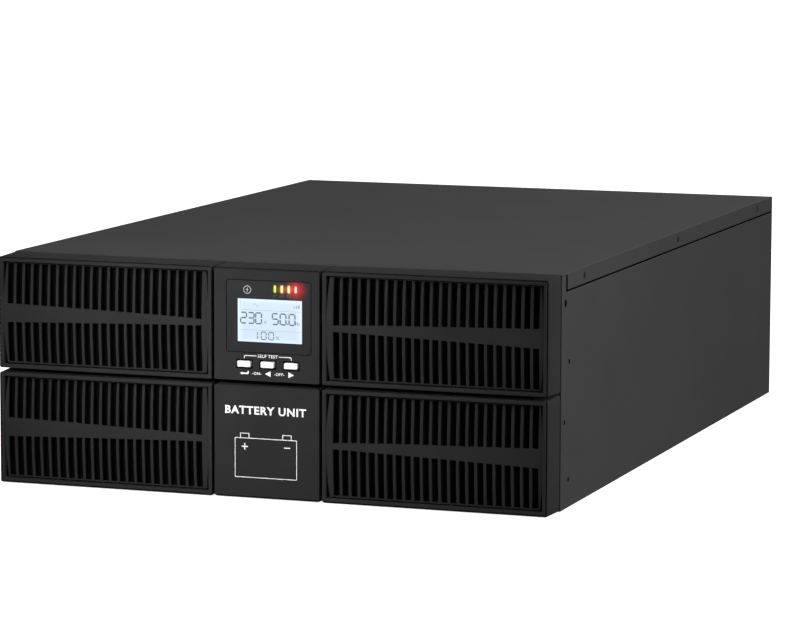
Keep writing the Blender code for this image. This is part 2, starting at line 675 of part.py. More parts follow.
def breaker(finishes):
    """The input breaker and its lever, drawn switched on."""
    body = rear_box("breaker_body", BREAKER, -48 * MM, 6 * MM, finishes["black"])
    cut(body, rear_mesh(grown(BREAKER, -8, -16), -8 * MM, 9 * MM), "pocket")
    pivot = Vector(((BREAKER[0] + BREAKER[1]) / 2 * MM, Y_BACK, (BREAKER[2] + BREAKER[3]) / 2 * MM))
    half = Vector((8.4 * MM, 0, 0))
    hub = bmesh.new()
    add_rod(hub, pivot - half, pivot + half, LEVER_RADIUS, sides=20)
    lever = piece("breaker_lever", hub, finishes["black"], origin=pivot)
    handle = bmesh.new()
    add_box(handle, (-LEVER_RADIUS, 0, -3.5 * MM), (LEVER_RADIUS, 14.5 * MM, 3.5 * MM))
    handle.transform(Matrix.Translation(pivot) @ Matrix.Rotation(math.radians(LEVER_ON), 4, "X"))
    join(lever, handle, "handle")


def sockets(finishes):
    """The data sockets, the emergency-off header, the card slot's cover and the battery socket."""
    serial = rear_box("serial_port", SERIAL, GAP, 1.3 * MM, finishes["plating"])
    join(serial, rear_mesh(grown(SERIAL, -7, -2), -10 * MM, 6 * MM), "core")

    usb = rear_box("usb_port", USB, -14 * MM, 1.2 * MM, finishes["plating"])
    cut(usb, rear_mesh(grown(USB, -1.7, -1.6), -9 * MM, 3 * MM), "mouth")

    rear_box("epo_connector", EPO, -8 * MM, 6 * MM, finishes["green"])

    card = rear_box("card_slot_cover", CARD_SLOT, GAP, GAP + SHEET, finishes["steel"])
    join(card, rear_mesh(grown(CARD_SLOT, -38, -9), SHEET, 8 * MM), "tab")

    socket = rear_box("battery_socket", BATTERY_SOCKET, -10 * MM, 12 * MM, finishes["grey"])
    x0, x1, z0, z1 = BATTERY_SOCKET
    middle_z = (z0 + z1) / 2
    for word, side in (("left_pocket", -1), ("right_pocket", 1)):
        x = (x0 + x1 + side * POCKET_PITCH) / 2
        pocket = grown((x, x, middle_z, middle_z), POCKET_SIZE[0] / 2, POCKET_SIZE[1] / 2)
        cut(socket, rear_mesh(pocket, -6 * MM, 15 * MM), word)


# ---------------------------------------------------------------- the power stage

def heatsink(name, x, finish):
    """A finned aluminium extrusion lying along the airflow of one fan."""
    wide, tall = SINK_SIZE
    pitch = (wide - SINK_FIN_THICK) / (SINK_FINS - 1)
    outline = [(-wide / 2, 0), (wide / 2, 0)]
    for i in range(SINK_FINS):
        right = wide / 2 - i * pitch
        left = right - SINK_FIN_THICK
        outline += [(right, SINK_BASE), (right, tall), (left, tall), (left, SINK_BASE)]
    outline = [point for i, point in enumerate(outline) if i not in (2, len(outline) - 1)]
    base = BOARD_TOP + GAP
    mesh = bmesh.new()
    add_loft(mesh, [[(x + u * MM, y, base + v * MM) for u, v in outline] for y in SINK_ENDS])
    piece(name, mesh, finish)


def choke(name, y, finish):
    """A wound ring, lying flat on the power board."""
    centre = Vector((CHOKE_X, y, BOARD_TOP + CHOKE_THICK + MM))
    loops = []
    for i in range(16):
        turn = math.tau * i / 16
        out = Vector((math.cos(turn), math.sin(turn), 0))
        loops.append([
            centre + out * (CHOKE_RADIUS + CHOKE_THICK * math.cos(math.tau * j / 8))
            + Vector((0, 0, CHOKE_THICK * math.sin(math.tau * j / 8))) for j in range(8)
        ])
    mesh = bmesh.new()
    add_loft(mesh, loops, ring=True)
    piece(name, mesh, finish, smooth=True, origin=centre)


def power_stage(finishes):
    """The power board and what stands on it."""
    board = box_piece("power_board", (BOARD_SIDES[0], -BOARD_HALF_DEPTH, BOARD_TOP - BOARD_THICK),
                      (BOARD_SIDES[1], BOARD_HALF_DEPTH, BOARD_TOP), finishes["board"])
    posts = bmesh.new()
    for x in (BOARD_SIDES[0] + POST_INSET, 0.0, BOARD_SIDES[1] - POST_INSET):
        for y in (POST_INSET - BOARD_HALF_DEPTH, BOARD_HALF_DEPTH - POST_INSET):
            add_rod(posts, (x, y, SHELF_TOP + GAP), (x, y, BOARD_TOP - BOARD_THICK / 2), 3 * MM, sides=8)
    join(board, posts, "posts")

    heatsink("left_heatsink", FAN_CENTRES[0], finishes["aluminium"])
    heatsink("right_heatsink", FAN_CENTRES[1], finishes["aluminium"])
    for i in range(CAPACITORS):
        y = CAPACITOR_FIRST + i * CAPACITOR_PITCH
        mesh = bmesh.new()
        add_rod(mesh, (0, y, BOARD_TOP + GAP), (0, y, BOARD_TOP + CAPACITOR_TALL), CAPACITOR_RADIUS)
        piece(f"bus_capacitor_{i + 1}", mesh, finishes["sleeve"], smooth=True, origin=(0, y, BOARD_TOP))
    choke("pfc_choke", -130 * MM, finishes["copper"])
    choke("inverter_choke", -40 * MM, finishes["copper"])

    x = -180 * MM
    control = box_piece("control_board", (x, -190 * MM, BOARD_TOP + GAP), (x + 1.6 * MM, 60 * MM, 160 * MM),
                        finishes["board"])
    chips = bmesh.new()
    add_box(chips, (x + MM, -120 * MM, 120 * MM), (x + 6 * MM, -96 * MM, 144 * MM))
    add_box(chips, (x + MM, -60 * MM, 110 * MM), (x + 10 * MM, -20 * MM, 120 * MM))
    join(control, chips, "chips")


# ---------------------------------------------------------------- the battery drawer

def battery_drawer(finishes):
    """The sliding tray, its handle, eight pairs of batteries and the front pieces clipped to it."""
    carrier = group("battery_drawer", (0, Y_CASE, ROW_HEIGHT / 2))
    edge = WALL_INSIDE - 1.2 * MM
    floor = SHEET + 0.4 * MM
    back = Y_BACK - 14 * MM
    side_top = 42 * MM
    tray = box_piece("battery_tray", (-edge, Y_CASE, floor), (edge, back, side_top), finishes["steel"],
                     parent=carrier, origin=(0, Y_CASE, ROW_HEIGHT / 2))
    hollow = bmesh.new()
    add_box(hollow, (-edge + TRAY_SHEET, Y_CASE + SHEET, floor + TRAY_SHEET),
            (edge - TRAY_SHEET, back - TRAY_SHEET, side_top + SHEET))
    cut(tray, hollow, "hollow")
    front = bmesh.new()
    top = SHELF_TOP - SHEET - 0.6 * MM
    add_box(front, (-edge, Y_CASE + 0.05 * MM, floor + 0.05 * MM), (edge, Y_CASE + SHEET - 0.05 * MM, top))
    join(tray, front, "front")
    vents = bmesh.new()
    for side in (-1, 1):
        x0, x1 = sorted((side * 56 * MM, side * 204 * MM))
        window_grid(vents, x0, x1, 12 * MM, 76 * MM, 4, 2, 6 * MM, Y_CASE - SHEET, Y_CASE + 2 * SHEET)
    cut(tray, vents, "vents")

    middle = ROW_HEIGHT / 2
    grip = Y_CASE - HANDLE_REACH
    low, high = middle - HANDLE_TALL / 2, middle + HANDLE_TALL / 2
    handle = box_piece("tray_handle", (-HANDLE_HALF, grip, low), (HANDLE_HALF, grip + HANDLE_BAR, high),
                       finishes["steel"], parent=carrier, origin=(0, Y_CASE, middle))
    legs = bmesh.new()
    for x in (-HANDLE_HALF, HANDLE_HALF - HANDLE_BAR):
        add_box(legs, (x, grip + MM, low), (x + HANDLE_BAR, Y_CASE - GAP, high))
    join(handle, legs, "legs")

    pair_half = BATTERY_TALL + TERMINAL_GAP / 2
    z0 = floor + TRAY_SHEET + GAP
    number = 0
    for row in range(BATTERY_ROWS):
        y0 = Y_CASE + SHEET + 2 * MM + row * (BATTERY_LENGTH + BATTERY_SPACE)
        for centre in (-pair_half - 2 * MM, pair_half + 2 * MM):
            number += 1
            place = (centre, y0, z0)
            mesh = bmesh.new()
            add_box(mesh, (centre - pair_half, y0, z0),
                    (centre - TERMINAL_GAP / 2, y0 + BATTERY_LENGTH, z0 + BATTERY_THICK))
            pair = piece(f"battery_pair_{number}", mesh, finishes["battery"], parent=carrier, origin=place)
            second = bmesh.new()
            add_box(second, (centre + TERMINAL_GAP / 2, y0, z0),
                    (centre + pair_half, y0 + BATTERY_LENGTH, z0 + BATTERY_THICK))
            links = bmesh.new()
            for z in (z0 + 12 * MM, z0 + BATTERY_THICK - 18 * MM):
                add_box(links, (centre - TERMINAL_GAP / 2 - MM, y0 + 14 * MM, z),
                        (centre + TERMINAL_GAP / 2 + MM, y0 + 21 * MM, z + 6 * MM))
            join(pair, second, "second")
            join(pair, links, "links")

    for name, side in (("lower_left_grille", -1), ("lower_right_grille", 1)):
        grille(name, side, LOWER_ROW, finishes["plastic"], parent=carrier)
    module_shell("battery_badge", LOWER_ROW, finishes["plastic"], carrier)


def main():
    for obj in list(bpy.data.objects):
        bpy.data.objects.remove(obj)
    finishes = {
        "steel": material("powder_coated_steel", (0.035, 0.035, 0.037), 0.55),
        "zinc": material("zinc_plated_steel", (0.62, 0.62, 0.6), 0.4, 1.0),
        "plastic": material("bezel_plastic", (0.028, 0.028, 0.030), 0.5),
        "window": material("smoked_window", (0.02, 0.02, 0.022), 0.15, alpha=0.6),
        "clear": material("clear_plastic", (0.85, 0.87, 0.88), 0.2, alpha=0.5),
        "lcd": material("lcd_glass", (0.62, 0.78, 0.95), 0.3),
        "white": material("white_plastic", (0.85, 0.85, 0.86), 0.45),
        "board": material("circuit_board", (0.02, 0.16, 0.06), 0.5),
        "screw": material("black_screw", (0.03, 0.03, 0.03), 0.4, 1.0),
        "fan": material("fan_plastic", (0.02, 0.02, 0.02), 0.45),
        "wire": material("guard_wire", (0.05, 0.05, 0.05), 0.35, 0.8),
        "black": material("black_moulding", (0.03, 0.03, 0.03), 0.5),
        "grey": material("grey_moulding", (0.35, 0.35, 0.36), 0.5),
        "green": material("green_moulding", (0.05, 0.4, 0.12), 0.5),
        "plating": material("nickel_plating", (0.7, 0.7, 0.68), 0.3, 1.0),
        "aluminium": material("extruded_aluminium", (0.72, 0.73, 0.74), 0.4, 1.0),
        "sleeve": material("capacitor_sleeve", (0.03, 0.05, 0.2), 0.4),
        "copper": material("enamelled_copper", (0.6, 0.25, 0.1), 0.35, 1.0),
        "battery": material("battery_case", (0.12, 0.12, 0.13), 0.55),
    }
    chassis_tray(finishes["steel"])
    top_cover(finishes["steel"])
    cover_screws(finishes["screw"])
    mid_shelf(finishes["zinc"])
    front_bulkhead(finishes["steel"])
    for name, side in (("upper_left_grille", -1), ("upper_right_grille", 1)):
        grille(name, side, UPPER_ROW, finishes["plastic"])
    display_module(finishes)
    rear_panel(finishes["steel"])
    for number, x in enumerate(FAN_CENTRES, 1):
        fan(number, x, finishes)
    terminals(finishes)
    breaker(finishes)
    sockets(finishes)
    power_stage(finishes)
    battery_drawer(finishes)


main()
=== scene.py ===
"""The looks of a rack-mount power supply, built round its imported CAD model.

Every surface is worked out as whole arrays on a grid of two parameters, or as a profile
carried round a path, and put into a mesh in one step. Lengths are in millimetres until
put() makes a mesh of them, and in metres in the finishes and the studio.
"""

import json
import logging
import math
from dataclasses import dataclass
from enum import Enum

import bmesh
import bpy
import numpy as np
from mathutils import Matrix, Vector

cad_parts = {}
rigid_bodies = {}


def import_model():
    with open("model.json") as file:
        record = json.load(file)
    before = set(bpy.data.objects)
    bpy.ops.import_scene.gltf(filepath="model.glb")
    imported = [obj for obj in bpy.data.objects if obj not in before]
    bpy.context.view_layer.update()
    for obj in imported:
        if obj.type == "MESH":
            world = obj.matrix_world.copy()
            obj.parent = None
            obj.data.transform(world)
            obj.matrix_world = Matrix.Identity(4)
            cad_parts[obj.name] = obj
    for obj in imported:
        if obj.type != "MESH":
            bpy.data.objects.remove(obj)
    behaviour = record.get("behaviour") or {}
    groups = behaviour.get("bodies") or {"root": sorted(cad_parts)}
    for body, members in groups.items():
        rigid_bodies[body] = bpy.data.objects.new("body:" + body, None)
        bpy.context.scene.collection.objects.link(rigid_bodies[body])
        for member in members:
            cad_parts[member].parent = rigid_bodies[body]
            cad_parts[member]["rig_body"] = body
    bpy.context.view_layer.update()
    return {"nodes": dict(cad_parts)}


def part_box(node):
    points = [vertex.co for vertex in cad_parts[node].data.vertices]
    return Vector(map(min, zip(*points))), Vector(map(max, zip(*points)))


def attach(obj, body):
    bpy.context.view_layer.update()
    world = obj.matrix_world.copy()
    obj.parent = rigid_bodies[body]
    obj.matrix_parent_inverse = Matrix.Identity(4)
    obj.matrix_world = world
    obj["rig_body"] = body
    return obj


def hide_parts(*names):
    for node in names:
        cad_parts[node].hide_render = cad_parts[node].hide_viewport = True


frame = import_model()
log = logging.getLogger("power_supply")

MM = 0.001
Array = np.ndarray
Colour = tuple[float, float, float]
Point = tuple[float, float, float]
Pair = tuple[float, float]
Rect = tuple[float, float, float, float]


class Side(Enum):
    """Which side of the middle a front piece is on, as the sign of its x."""

    LEFT = -1
    RIGHT = 1


class Axis(Enum):
    """The direction a block or a lathe's axle runs along, as its place in a point."""

    X = 0
    Y = 1
    Z = 2


# ------------------------------------------------------------------ surfaces

@dataclass(frozen=True)
class Shell:
    """A surface as arrays.

    Attributes:
        points: Corner places, one row each.
        faces: Arrays of corner numbers; all faces of one array have as many corners.
    """

    points: Array
    faces: tuple[Array, ...]

    def __add__(self, other: "Shell") -> "Shell":
        """Both surfaces as one, with the second's corner numbers moved up."""
        moved = tuple(face + len(self.points) for face in other.faces)
        return Shell(np.vstack([self.points, other.points]), self.faces + moved)

    def moved(self, x: float = 0.0, y: float = 0.0, z: float = 0.0) -> "Shell":
        """The surface shifted by x, y and z."""
        return Shell(self.points + np.array([x, y, z]), self.faces)

    def turned(self, axis: Axis, angle: float, centre: Array) -> "Shell":
        """The surface turned about an axis through centre: p' = centre + R(p - centre).

        Args:
            axis: The axis that it turns about.
            angle: The turn in radians, by the right-hand rule.
            centre: A point on the axis.

        Returns:
            The turned surface.
        """
        turn = np.array(Matrix.Rotation(angle, 3, axis.name))
        return Shell((self.points - centre) @ turn.T + centre, self.faces)


def joined(shells: list[Shell]) -> Shell:
    """All the surfaces of a list as one."""
    total = shells[0]
    for shell in shells[1:]:
        total = total + shell
    return total


def lattice(rows: int, columns: int, wrap_rows: bool = False, wrap_columns: bool = False) -> Array:
    """The quads of a grid of points numbered row by row.

    Cell (i, j) joins points (i, j), (i, j+1), (i+1, j+1) and (i+1, j), where i+1 and j+1
    go back to 0 at the end of a direction that wraps.

    Args:
        rows: How many rows of points.
        columns: How many points in a row.
        wrap_rows: Whether the last row joins the first.
        wrap_columns: Whether each row closes on itself.

    Returns:
        One row of four corner numbers for each cell.
    """
    i = np.arange(rows if wrap_rows else rows - 1)[:, None]
    j = np.arange(columns if wrap_columns else columns - 1)[None, :]
    down, right = (i + 1) % rows, (j + 1) % columns
    corners = [i * columns + j, i * columns + right, down * columns + right, down * columns + j]
    return np.stack([np.broadcast_to(c, (i.shape[0], j.shape[1])) for c in corners], -1).reshape(-1, 4)


def loft(loops: Array, ring: bool = False, caps: bool = True) -> Shell:
    """A surface through closed loops of points, loops[k, i] joining loops[k + 1, i].

    Args:
        loops: An array of loops, points and coordinates.
        ring: Whether the last loop joins the first.
        caps: Whether the end loops are filled.

    Returns:
        The surface.
    """
    count, size = loops.shape[:2]
    faces = [lattice(count, size, wrap_rows=ring, wrap_columns=True)]
    if caps and not ring:
        faces += [np.arange(size)[None, ::-1], np.arange(size)[None] + (count - 1) * size]
    return Shell(loops.reshape(-1, 3), tuple(faces))


def rounded_rectangle(half_u: float, half_v: float, radius: float, steps: int = 4) -> Array:
    """A rectangle with round corners: corner centre + radius (cos t, sin t) a quarter at a time.

    Args:
        half_u: Half its width.
        half_v: Half its height.
        radius: Its corner radius.
        steps: Points in a quarter turn.

    Returns:
        The loop's points as pairs.
    """
    quarter = np.arange(4)[:, None] * (math.pi / 2)
    turn = (quarter + np.linspace(0, math.pi / 2, steps + 1)[None]).ravel()
    u = np.repeat([1, -1, -1, 1], steps + 1) * (half_u - radius)
    v = np.repeat([1, 1, -1, -1], steps + 1) * (half_v - radius)
    return np.stack([u + radius * np.cos(turn), v + radius * np.sin(turn)], -1)


def block(low: Array, high: Array, corner: float, ease: float, along: Axis = Axis.Y) -> Shell:
    """A box with round corners and eased ends.

    Rounded rectangles stand across one axis. Near each end they shrink by
    ease (1 - sin t) at a depth of ease (1 - cos t), which is a quarter circle.

    Args:
        low: Its lowest corner.
        high: Its highest corner.
        corner: The radius of the four edges that run along the axis.
        ease: The radius of the edges at its ends.
        along: The axis.

    Returns:
        The closed surface.
    """
    low, high = np.array(low, float), np.array(high, float)
    middle, half = (low + high) / 2, (high - low) / 2
    u, v = [k for k in range(3) if k != along.value]
    arc = np.linspace(0, math.pi / 2, 4)
    shrink = np.concatenate([ease * (1 - np.sin(arc)), ease * (1 - np.sin(arc[::-1]))])
    depth = ease * (1 - np.cos(arc))
    place = np.concatenate([-half[along.value] + depth, half[along.value] - depth[::-1]])
    sections = np.stack([
        rounded_rectangle(half[u] - s, half[v] - s, max(corner - s, corner * 0.3)) for s in shrink
    ])
    loops = np.empty((*sections.shape[:2], 3))
    loops[..., u], loops[..., v] = sections[..., 0], sections[..., 1]
    loops[..., along.value] = place[:, None]
    return loft(loops + middle)


def lathe(profile: Array, centre: Array, along: Axis = Axis.Y, steps: int = 32, ring: bool = False) -> Shell:
    """A turned surface: radius r at distance h along the axle gives c + h a + r (cos t u + sin t v).

    Args:
        profile: Pairs of radius and distance along the axle, in order.
        centre: The axle's zero point.
        along: The axle's direction.
        steps: Points round the axle.
        ring: Whether the profile closes on itself.

    Returns:
        The surface, its ends filled unless it is a ring.
    """
    profile = np.asarray(profile, float)
    turn = np.linspace(0, math.tau, steps, endpoint=False)
    u, v = [k for k in range(3) if k != along.value]
    loops = np.empty((len(profile), steps, 3))
    loops[..., u] = profile[:, :1] * np.cos(turn)
    loops[..., v] = profile[:, :1] * np.sin(turn)
    loops[..., along.value] = profile[:, 1:2]
    return loft(loops + np.asarray(centre), ring=ring)


def wire(path: Array, radius: float, steps: int = 8, ring: bool = False) -> Shell:
    """A round wire along a path: p + radius (cos t n + sin t b), with n square to the tangent.

    Args:
        path: Points along its middle.
        radius: The wire's radius.
        steps: Points round the wire.
        ring: Whether the path closes on itself.

    Returns:
        The surface, its ends filled unless it is a ring.
    """
    ahead = np.roll(path, -1, 0) - np.roll(path, 1, 0) if ring else np.gradient(path, axis=0)
    tangent = ahead / np.linalg.norm(ahead, axis=1, keepdims=True)
    spread = np.ptp(path, axis=0)
    up = np.eye(3)[int(np.argmin(spread))]
    side = np.cross(tangent, up)
    side /= np.linalg.norm(side, axis=1, keepdims=True)
    over = np.cross(side, tangent)
    turn = np.linspace(0, math.tau, steps, endpoint=False)[None, :, None]
    loops = path[:, None] + radius * (np.cos(turn) * side[:, None] + np.sin(turn) * over[:, None])
    return loft(loops, ring=ring)


def pierced(x: Array, z: Array, near: Array, far: Array, solid: Array) -> Shell:
    """A slab with openings, on a grid of cells, walled wherever a solid cell meets an empty one.

    Args:
        x: The x of each grid point.
        z: The z of each grid point.
        near: The y of the slab's front at each point.
        far: The y of its back at each point.
        solid: Which cells are solid.

    Returns:
        The closed surface.
    """
    rows, columns = x.shape
    number = np.arange(rows * columns).reshape(rows, columns)
    cell = np.stack([number[:-1, :-1], number[1:, :-1], number[1:, 1:], number[:-1, 1:]], -1)
    front = cell[solid]
    padded = np.pad(solid, 1)
    across = np.stack([number[:, :-1], number[:, 1:]], -1)[padded[:-1, 1:-1] != padded[1:, 1:-1]]
    upward = np.stack([number[:-1], number[1:]], -1)[padded[1:-1, :-1] != padded[1:-1, 1:]]
    edge = np.vstack([across, upward])
    wall = np.column_stack([edge, edge[:, ::-1] + rows * columns])
    points = np.vstack([
        np.stack([x, near, z], -1).reshape(-1, 3), np.stack([x, far, z], -1).reshape(-1, 3),
    ])
    return Shell(points, (front, front[:, ::-1] + rows * columns, wall))


def flat(outline: Array, y: float, thick: float) -> Shell:
    """A thin plate with the outline, its front at y and its back thick behind."""
    loops = np.stack([np.insert(outline, 1, y + t, axis=1) for t in (0, thick)])
    return loft(loops)


def stroke(points: Array, width: float) -> Array:
    """The outline of a line of a width: the points moved half the width to each side.

    Args:
        points: The line's points as pairs.
        width: Its width.

    Returns:
        The closed outline.
    """
    ahead = np.gradient(points, axis=0)
    side = np.stack([-ahead[:, 1], ahead[:, 0]], -1)
    side *= width / 2 / np.linalg.norm(side, axis=1, keepdims=True)
    return np.vstack([points + side, (points - side)[::-1]])


def mitred(points: Array, width: float) -> Array:
    """The outline of a line with square corners kept full width, as stroke but mitred.

    At each corner the two edge normals n1 and n2 give the offset (n1 + n2) / (1 + n1.n2).

    Args:
        points: The line's points as pairs.
        width: Its width.

    Returns:
        The closed outline.
    """
    run = np.diff(points, axis=0)
    run /= np.linalg.norm(run, axis=1, keepdims=True)
    normal = np.stack([-run[:, 1], run[:, 0]], -1)
    before, after = np.vstack([normal[:1], normal]), np.vstack([normal, normal[-1:]])
    side = (before + after) / (1 + (before * after).sum(1, keepdims=True)) * width / 2
    return np.vstack([points + side, (points - side)[::-1]])


# ------------------------------------------------------------------ finishes

Tree = bpy.types.NodeTree
Node = bpy.types.Node
Socket = bpy.types.NodeSocket


def grow(tree: Tree, kind: str, sockets: dict, operation: str = "") -> Node:
    """Adds a shader node.

    Args:
        tree: The node tree.
        kind: The node's type, without the "ShaderNode" before it.
        sockets: For each input, by name or number, its value or the socket that feeds it.
        operation: What a maths node does.

    Returns:
        The node.
    """
    node = tree.nodes.new("ShaderNode" + kind)
    if operation:
        node.operation = operation
    for key, value in sockets.items():
        if isinstance(value, Socket):
            tree.links.new(value, node.inputs[key])
        else:
            node.inputs[key].default_value = value
    return node


@dataclass(frozen=True)
class Finish:
    """A material with a fine grain.

    Base colour and roughness each drift over the surface, and a fine noise gives the bump:
    height = noise(scale p). A stretch other than 1 draws the grain out along X.

    Attributes:
        name: The material's name.
        colour: Base colour.
        roughness: Middle roughness.
        metallic: Metallic value.
        specular: Specular level.
        drift: How far the colour and roughness wander, as a share.
        grain: Bumps in a metre.
        bump: Height of the bumps, in metres.
        stretch: How much finer the grain is across X than along it.
        coat: Clear coat weight.
        alpha: Opacity.
    """

    name: str
    colour: Colour
    roughness: float = 0.5
    metallic: float = 0.0
    specular: float = 0.5
    drift: float = 0.08
    grain: float = 1500.0
    bump: float = 0.00002
    stretch: float = 1.0
    coat: float = 0.0
    alpha: float = 1.0

    def material(self) -> bpy.types.Material:
        """Builds the node tree, once for each name."""
        made = bpy.data.materials.get(self.name)
        if made:
            return made
        made = bpy.data.materials.new(self.name)
        made.use_nodes = True
        tree = made.node_tree
        shader = tree.nodes["Principled BSDF"]
        for socket, value in (
            ("Roughness", self.roughness), ("Metallic", self.metallic), ("Alpha", self.alpha),
            ("Specular IOR Level", self.specular), ("Coat Weight", self.coat), ("Coat Roughness", 0.1),
        ):
            shader.inputs[socket].default_value = value
        place = tree.nodes.new("ShaderNodeTexCoord").outputs["Object"]
        if self.stretch != 1.0:
            scale = (1.0, self.stretch, self.stretch)
            place = grow(tree, "Mapping", {"Vector": place, "Scale": scale}).outputs["Vector"]
        slow, fine = (
            grow(tree, "TexNoise", {"Scale": scale, "Detail": detail, "Vector": place}).outputs["Fac"]
            for scale, detail in ((self.grain / 100, 3.0), (self.grain, 2.0))
        )
        ramp = grow(tree, "ValToRGB", {"Fac": slow})
        less, more = 1 - self.drift, 1 + self.drift
        for element, share, stop in zip(ramp.color_ramp.elements, (less, more), (0.3, 0.7)):
            element.color = (*(min(c * share, 1.0) for c in self.colour), 1.0)
            element.position = stop
        rough = grow(tree, "MapRange", {
            "To Min": self.roughness * less, "To Max": min(self.roughness * more, 1.0), "Value": fine,
        })
        bump = grow(tree, "Bump", {"Distance": self.bump, "Strength": 1.0, "Height": fine})
        tree.links.new(ramp.outputs["Color"], shader.inputs["Base Color"])
        tree.links.new(rough.outputs["Result"], shader.inputs["Roughness"])
        tree.links.new(bump.outputs["Normal"], shader.inputs["Normal"])
        self.dress(tree, shader, place)
        return made

    def dress(self, tree: Tree, shader: Node, place: Socket) -> None:
        """What a particular finish adds; nothing here."""


@dataclass(frozen=True)
class Glow(Finish):
    """A finish that gives its own light.

    Attributes:
        light: The colour of the light.
        strength: Its strength.
    """

    light: Colour = (1.0, 1.0, 1.0)
    strength: float = 1.0

    def dress(self, tree: Tree, shader: Node, place: Socket) -> None:
        """Sets the shader's own light."""
        shader.inputs["Emission Color"].default_value = (*self.light, 1.0)
        shader.inputs["Emission Strength"].default_value = self.strength


@dataclass(frozen=True)
class Laminate(Finish):
    """A circuit board: solder mask with copper tracks under it, drawn by a brick pattern.

    Attributes:
        track: The colour over copper.
        pitch: Tracks in a metre.
    """

    track: Colour = (0.03, 0.22, 0.09)
    pitch: float = 60.0

    def dress(self, tree: Tree, shader: Node, place: Socket) -> None:
        """Puts the track pattern into the base colour."""
        brick = grow(tree, "TexBrick", {
            "Scale": self.pitch, "Mortar Size": 0.06, "Color1": (*self.colour, 1.0),
            "Color2": (*(c * 0.8 for c in self.colour), 1.0), "Mortar": (*self.track, 1.0), "Vector": place,
        })
        tree.links.new(brick.outputs["Color"], shader.inputs["Base Color"])


@dataclass(frozen=True)
class Backlight(Glow):
    """A lit panel that is brighter near its rim than in its middle.

    Attributes:
        centre: The x and z of the panel's middle, in millimetres.
        half: Half its width and height.
        rim: How much stronger the rim is.
    """

    centre: Pair = (0.0, 0.0)
    half: Pair = (1.0, 1.0)
    rim: float = 1.25

    def dress(self, tree: Tree, shader: Node, place: Socket) -> None:
        """Makes the light grow with max(|x - cx| / hx, |z - cz| / hz)."""
        super().dress(tree, shader, place)
        parts = grow(tree, "SeparateXYZ", {"Vector": place})
        shares = []
        for name, middle, reach in zip("XZ", self.centre, self.half):
            share = grow(tree, "Math", {0: parts.outputs[name], 1: middle * MM}, "SUBTRACT").outputs["Value"]
            share = grow(tree, "Math", {0: share}, "ABSOLUTE").outputs["Value"]
            shares.append(grow(tree, "Math", {0: share, 1: reach * MM}, "DIVIDE").outputs["Value"])
        both = grow(tree, "Math", dict(enumerate(shares)), "MAXIMUM").outputs["Value"]
        ramp = grow(tree, "MapRange", {
            "From Min": 0.8, "To Min": self.strength, "To Max": self.strength * self.rim, "Value": both,
        })
        tree.links.new(ramp.outputs["Result"], shader.inputs["Emission Strength"])


@dataclass(frozen=True)
class PaintedHaloWindow(Finish):
    """A smoked window with painted halos of light round the indicators behind it, drawn as its own glow.

    Attributes:
        lamps: For each indicator, its x, its z, the radius of its painted halo and its light.
        front: The y of the window's face.
    """

    lamps: tuple[tuple[float, float, float, Colour], ...] = ()
    front: float = 0.0

    def dress(self, tree: Tree, shader: Node, place: Socket) -> None:
        """Adds up a painted halo of light round each indicator as emission: light (1 - distance /
        radius)^2.5.
        """
        total = (0.0, 0.0, 0.0)
        for x, z, radius, light in self.lamps:
            centre = (x * MM, self.front * MM, z * MM)
            gap = grow(tree, "VectorMath", {0: place, 1: centre}, "DISTANCE").outputs["Value"]
            ends = {"From Max": radius * MM, "To Min": 1.0, "To Max": 0.0}
            fade = grow(tree, "MapRange", {**ends, "Value": gap})
            soft = grow(tree, "Math", {0: fade.outputs["Result"], 1: 2.5}, "POWER").outputs["Value"]
            halo = grow(tree, "VectorMath", {0: light, "Scale": soft}, "SCALE").outputs["Vector"]
            total = grow(tree, "VectorMath", {0: total, 1: halo}, "ADD").outputs["Vector"]
        tree.links.new(total, shader.inputs["Emission Color"])
        shader.inputs["Emission Strength"].default_value = 1.0


POWDER_COAT = Finish("charcoal_powder_coat", (0.030, 0.029, 0.030), 0.62, specular=0.22, grain=1400,
                     bump=0.00004)
# Near-black matt foam for the gaskets and grille filters; also the painted shade of the lid seams, the ear
# holes and the grille slots.
BLACK_FOAM_AND_SHADE = Finish("filter_foam", (0.003, 0.003, 0.003), 1.0, specular=0.0, grain=1200, bump=0.0002)
BEZEL = Finish("bezel_plastic", (0.022, 0.022, 0.023), 0.9, specular=0.10, grain=2600, bump=0.000025)
# Near-black backing behind the button holes and round the window: painted shade in the gaps.
WELL_SHADE = Finish("button_well", (0.004, 0.004, 0.004), 0.7, specular=0.1)
# The white button caps have a faint painted glow (strength 0.04), though they are no lamp.
GLOWING_CAP = Glow("button_white", (0.88, 0.88, 0.89), 0.4, drift=0.02, grain=2500, bump=0.000008, strength=0.04)
PRINT = Finish("white_print", (0.86, 0.86, 0.86), 0.6, specular=0.2, drift=0.03)
PALE_PRINT = Finish("grey_print", (0.36, 0.36, 0.37), 0.5, specular=0.3, drift=0.05)
FAINT_PRINT = Finish("faint_print", (0.10, 0.10, 0.10), 0.6, specular=0.2, drift=0.05)
SEGMENT = Glow("lcd_segment", (0.02, 0.02, 0.03), 0.6, specular=0.1, light=(0.10, 0.14, 0.19))
RULE = Glow("lcd_rule", (0.02, 0.02, 0.03), 0.6, specular=0.1, light=(0.34, 0.44, 0.55))
ZINC = Finish("zinc_plate", (0.58, 0.58, 0.56), 0.38, 1.0, drift=0.15, grain=700, bump=0.00001)
NICKEL = Finish("nickel_plate", (0.66, 0.66, 0.64), 0.28, 1.0, grain=900, bump=0.000005)
BRASS = Finish("brass", (0.78, 0.58, 0.25), 0.3, 1.0, grain=900, bump=0.000005)
ALUMINIUM = Finish("extruded_aluminium", (0.72, 0.73, 0.74), 0.4, 1.0, grain=2500, bump=0.00001, stretch=0.05)
